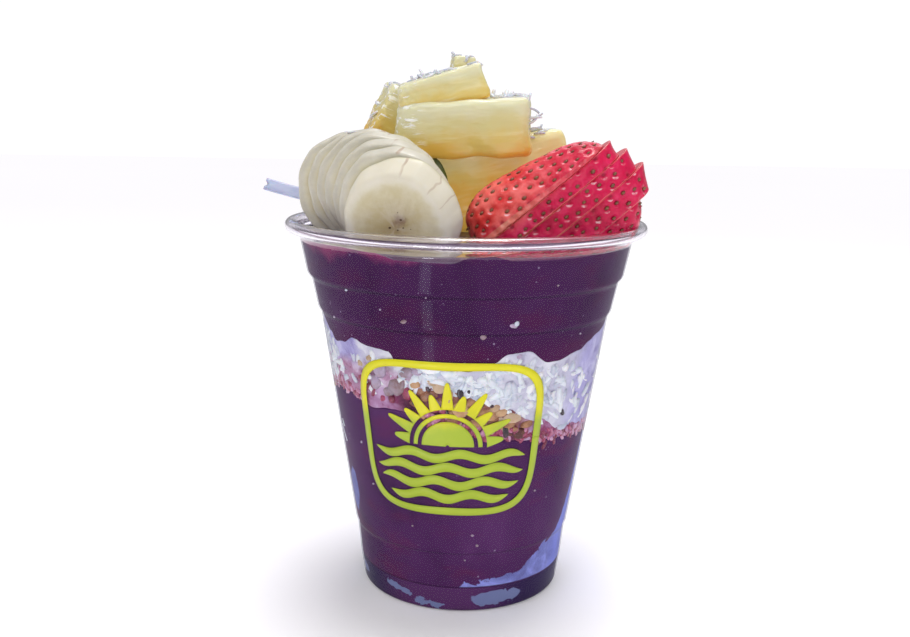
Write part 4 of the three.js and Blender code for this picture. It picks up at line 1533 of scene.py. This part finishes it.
# ---------------------------------------------------------------- leaf and coconut
# Shreds that stand up from the fruit: start in mm, heading, rise, length in mm, curl.
STANDING_SHREDS = [
    ((-2.4, 8, 142), 200, 30, 3.2, 30), ((-0.8, 8, 142), -8, 12, 5, -60),
    ((-9.4, -4, 136), 170, 30, 4.6, 25), ((-7, -3, 136.6), 120, 38, 4.4, -30),
    ((2.6, -3, 135), -10, -38, 7, 10), ((-17.4, 10, 133.2), 190, 12, 6, 20),
    ((8, 1, 131.2), 20, 24, 5, 20), ((14, -2, 128), 5, 58, 6, 20),
    ((14.4, -4, 126.4), -10, 20, 5, -20), ((20.4, 4, 119.4), 170, 62, 6.4, 50),
    ((19, 8, 120), 190, 14, 6, 20), ((-33.6, -6, 118.4), 20, 46, 4.6, -40),
    ((-12.5, -5, 135.2), 60, 50, 3, 60), ((-11, -6, 135.6), 150, 60, 3.2, -50),
    ((-10, -2, 136), 20, 40, 3.4, 40), ((-13.4, -3, 134.8), 200, 45, 3, 30),
    ((-8.6, -6, 136.2), 80, 65, 2.8, 40), ((-12, -1, 135.4), 110, 30, 3.6, -30),
    ((5.5, 0, 131.4), 30, 45, 3.4, 40), ((7, -3, 131.6), 120, 50, 3, -40),
    ((9, 1, 131.4), 60, 35, 4, 30), ((10.5, -2, 131), 160, 40, 3.2, 50),
    ((15, -3, 129.5), 10, 10, 4, -60), ((15.4, -2, 127.5), -20, -20, 4.6, 70),
    ((15.4, -5, 125.5), 15, 15, 4, 60), ((15.2, 0, 123.5), 5, 40, 5, -70),
    ((19.5, 3, 119.8), 20, 50, 4.4, 60), ((17.5, 2, 120.4), -10, 55, 5, 40),
    ((-16.6, 6, 133.4), 30, 40, 3.4, 30), ((-15.4, 6, 133.2), 150, 50, 3, -40),
    ((-19.4, 8, 132.8), 160, 30, 3.4, 30), ((-20.6, 9, 132), 40, 50, 2.8, 40),
]
SHRED_WIDTH = 1.2 * MM
SHRED_THICKNESS = 0.5 * MM
SETTLING_ROUNDS = 60            # how often a resting shred is smoothed over what bears it
LOWEST_SUPPORT = 85 * MM        # a shred that would hang lower has missed the food


def path_through(points, side=None):
    """The path of a strip through points; its flat side is level, along side if that is given."""
    steps = len(points) - 1

    def path(share):
        i = min(int(share * steps), steps - 1)
        point = points[i].lerp(points[i + 1], share * steps - i)
        along = (points[i + 1] - points[i]).normalized()
        level = Vector((-along.y, along.x, 0)).normalized() if side is None else side
        return point, level, along.cross(level)
    return path


def standing_shred(bm, start, heading, rise, length, curl, rng):
    points = [Vector(start) * MM]
    turn = math.radians(heading)
    steps = 12
    for i in range(steps):
        bend = math.radians(rise + curl * i / steps)
        direction = Vector((
            math.cos(bend) * math.cos(turn), math.cos(bend) * math.sin(turn), math.sin(bend)))
        points.append(points[-1] + direction * length * MM / steps)
    side = Vector((-math.sin(turn), math.cos(turn), 0))
    strip(bm, path_through(points, side), SHRED_WIDTH, SHRED_THICKNESS, rng.random())


def resting_shred(bm, carriers, start, heading, length, curl, width, rng):
    """A shred laid over what is under it, bridging the hollows; none where nothing bears it."""
    steps = 10
    turn = math.radians(heading)
    spots = [Vector((start[0], start[1], 0)) * MM]
    for i in range(steps):
        turn += math.radians(curl) / steps
        spots.append(spots[-1] + Vector((math.cos(turn), math.sin(turn), 0)) * length / steps)
    support = [top_of(carriers, spot.x, spot.y) for spot in spots]
    if min(support) < LOWEST_SUPPORT:
        return
    heights = list(support)
    for _ in range(SETTLING_ROUNDS):
        for i in range(1, steps):
            heights[i] = max(support[i], (heights[i - 1] + heights[i + 1]) / 2)
    if max(heights) - min(heights) > 0.7 * length:
        return
    points = [
        Vector((spot.x, spot.y, height + SHRED_THICKNESS * 0.3))
        for spot, height in zip(spots, heights)]
    strip(bm, path_through(points), width, SHRED_THICKNESS, rng.random())


def surfaces_of(pieces):
    graph = bpy.context.evaluated_depsgraph_get()
    return [BVHTree.FromObject(piece, graph) for piece in pieces]


def top_of(carriers, x, y):
    """Height of the highest surface at (x, y)."""
    start = Vector((x, y, 0.2))
    hits = [tree.ray_cast(start, Vector((0, 0, -1)))[0] for tree in carriers]
    return max((hit.z for hit in hits if hit is not None), default=0)


# Clumps of coconut caught on the fruit: middle in mm, how far they spread, how many shreds.
CLUMPS = [
    ((-16, 8), 4.5, 16), ((-12, -3), 3.5, 12), ((-7, -2), 4, 14), ((-1, 8), 3, 12),
    ((3, -2), 2.5, 8), ((11, -3), 5, 20), ((16, -4), 3.5, 14), ((14, 5), 5, 12), ((22, 2), 3.5, 10),
    ((-31, -4), 2.5, 4), ((-24, 14), 5, 12), ((-8, 24), 9, 30), ((12, 22), 9, 26),
    ((28, 12), 6, 14), ((-28, 22), 6, 14), ((4, 14), 7, 16),
]
COCONUT_REACH = 41              # how far from the middle a shred may start, in mm
LEAF_SIZE = (3.9, 6.4)          # half width and half length in mm
LEAF_VEINS = 2600.0             # veins by the sine's turn for each metre
LEAF_PLACE = (-9.0, -11.2, 110.3)
FLAKE_SIZE = (14, 1.75)         # half length and half width in mm
FLAKE_PLACE = (-43.6, 15.6, 104.4)


def make_top_coconut(toppings):
    carriers = surfaces_of(toppings)
    rng = random.Random(21)
    bm = bmesh.new()
    for start, heading, rise, length, curl in STANDING_SHREDS:
        standing_shred(bm, start, heading, rise, length, curl, rng)
    for middle, spread, count in CLUMPS:
        for _ in range(count):
            start = [place + rng.gauss(0, 0.5) * spread for place in middle]
            if math.hypot(*start) > COCONUT_REACH:
                continue
            resting_shred(
                bm, carriers, start, rng.uniform(0, 360), rng.uniform(1.6, 4.8) * MM,
                rng.uniform(-80, 80), rng.uniform(0.9, 1.5) * MM, rng)
    white = tinted_material("loose_coconut", [
        (0, "#c9cddd"), (0.4, "#e1e4ed"), (1, "#f6f7fb")], 0.35, 0.5 * MM, 0.3)
    finish_piece("loose_coconut", bm, [white], "coconut", ["pineapple_tip"])


def thin_block(columns, rows, thickness_cuts, move):
    """A fine block from -1 to 1 on each axis whose corners go where move says."""
    bm = bmesh.new()
    bmesh.ops.create_cube(bm, size=2)
    for axis, cuts in enumerate((columns, rows, thickness_cuts)):
        along = [e for e in bm.edges if abs(e.verts[0].co[axis] - e.verts[1].co[axis]) > 1e-6]
        bmesh.ops.subdivide_edges(bm, edges=along, cuts=cuts)
    for vert in bm.verts:
        vert.co = Vector(move(*vert.co))
    return bm


def leaf_green():
    made, place = material("leaf_green", "leaf_place")
    across, along, _ = parts_of(place)
    veins = abs(maths("SINE", (abs(across) + along) * LEAF_VEINS))
    middle = between(abs(across), 0, 0.35 * MM, 1, 0)
    lines = highest(between(veins, 0, 0.25, 1, 0) * 0.4, middle)
    colour = mixed(noise_at(place, 1.6 * MM, 3), "#3c4d16", "#64722c")
    return shaded(
        made, colour=mixed(lines, colour, "#7d8a48"), roughness=0.4,
        normal=bump(lines, 0.12 * MM, 0.6), coat=0.2, coat_roughness=0.2)


def make_leaf():
    def move(u, v, w):
        outline = max(0.1, math.sqrt(max(0, 1 - (v * 0.97) ** 2)))
        rise = 0.5 * math.cos(v * 4) + 0.7 * abs(u)
        return u * LEAF_SIZE[0] * outline * MM, v * LEAF_SIZE[1] * MM, (w * 0.3 + rise) * MM
    bm = thin_block(13, 23, 1, move)
    layer = bm.verts.layers.float_vector.new("leaf_place")
    for vert in bm.verts:
        vert[layer] = vert.co
    put(bm, LEAF_PLACE, turned((78, 24, 0)))
    finish_piece("leaf_piece", bm, [leaf_green()], "leaf", ["green_leaf"])


def flake_white():
    made, place = material("flake_white")
    streaks = noise_at(mapped(place, (0.3, 1, 1)), 1.2 * MM, 3)
    colour = ramp(streaks, [(0.3, "#b4bcdf"), (0.55, "#c5cdec"), (0.75, "#dfe4f7")])
    return shaded(
        made, colour=colour, roughness=0.4, normal=bump(streaks, 0.15 * MM, 0.5),
        subsurface=0.3, depth=1 * MM, coat=0.2, coat_roughness=0.2)


def make_flake():
    def move(u, v, w):
        nick = 0.9 * max(0, 1 - abs(v) / 0.5) if u < -0.999 else 0
        curl = 0.6 * math.sin(u * 2.2)
        thin = 1 - 0.35 * abs(v) ** 3
        return (u * FLAKE_SIZE[0] + nick) * MM, v * FLAKE_SIZE[1] * MM, (w * 0.45 * thin + curl) * MM
    bm = thin_block(40, 7, 1, move)
    put(bm, FLAKE_PLACE, rotation(15, "Y") @ rotation(62, "X"))
    finish_piece("coconut_flake_piece", bm, [flake_white()], "coconut", ["coconut_flake"])


# ---------------------------------------------------------------- build
place_camera()
place_lights()
lay_floor()
make_cup()
acai_top = make_layers()
make_band_bits()
make_print()
fruit = make_bananas() + make_strawberry() + make_pineapple()
make_leaf()
make_flake()
make_top_coconut(fruit + [acai_top])

bpy.context.scene.view_settings.view_transform = "Standard"
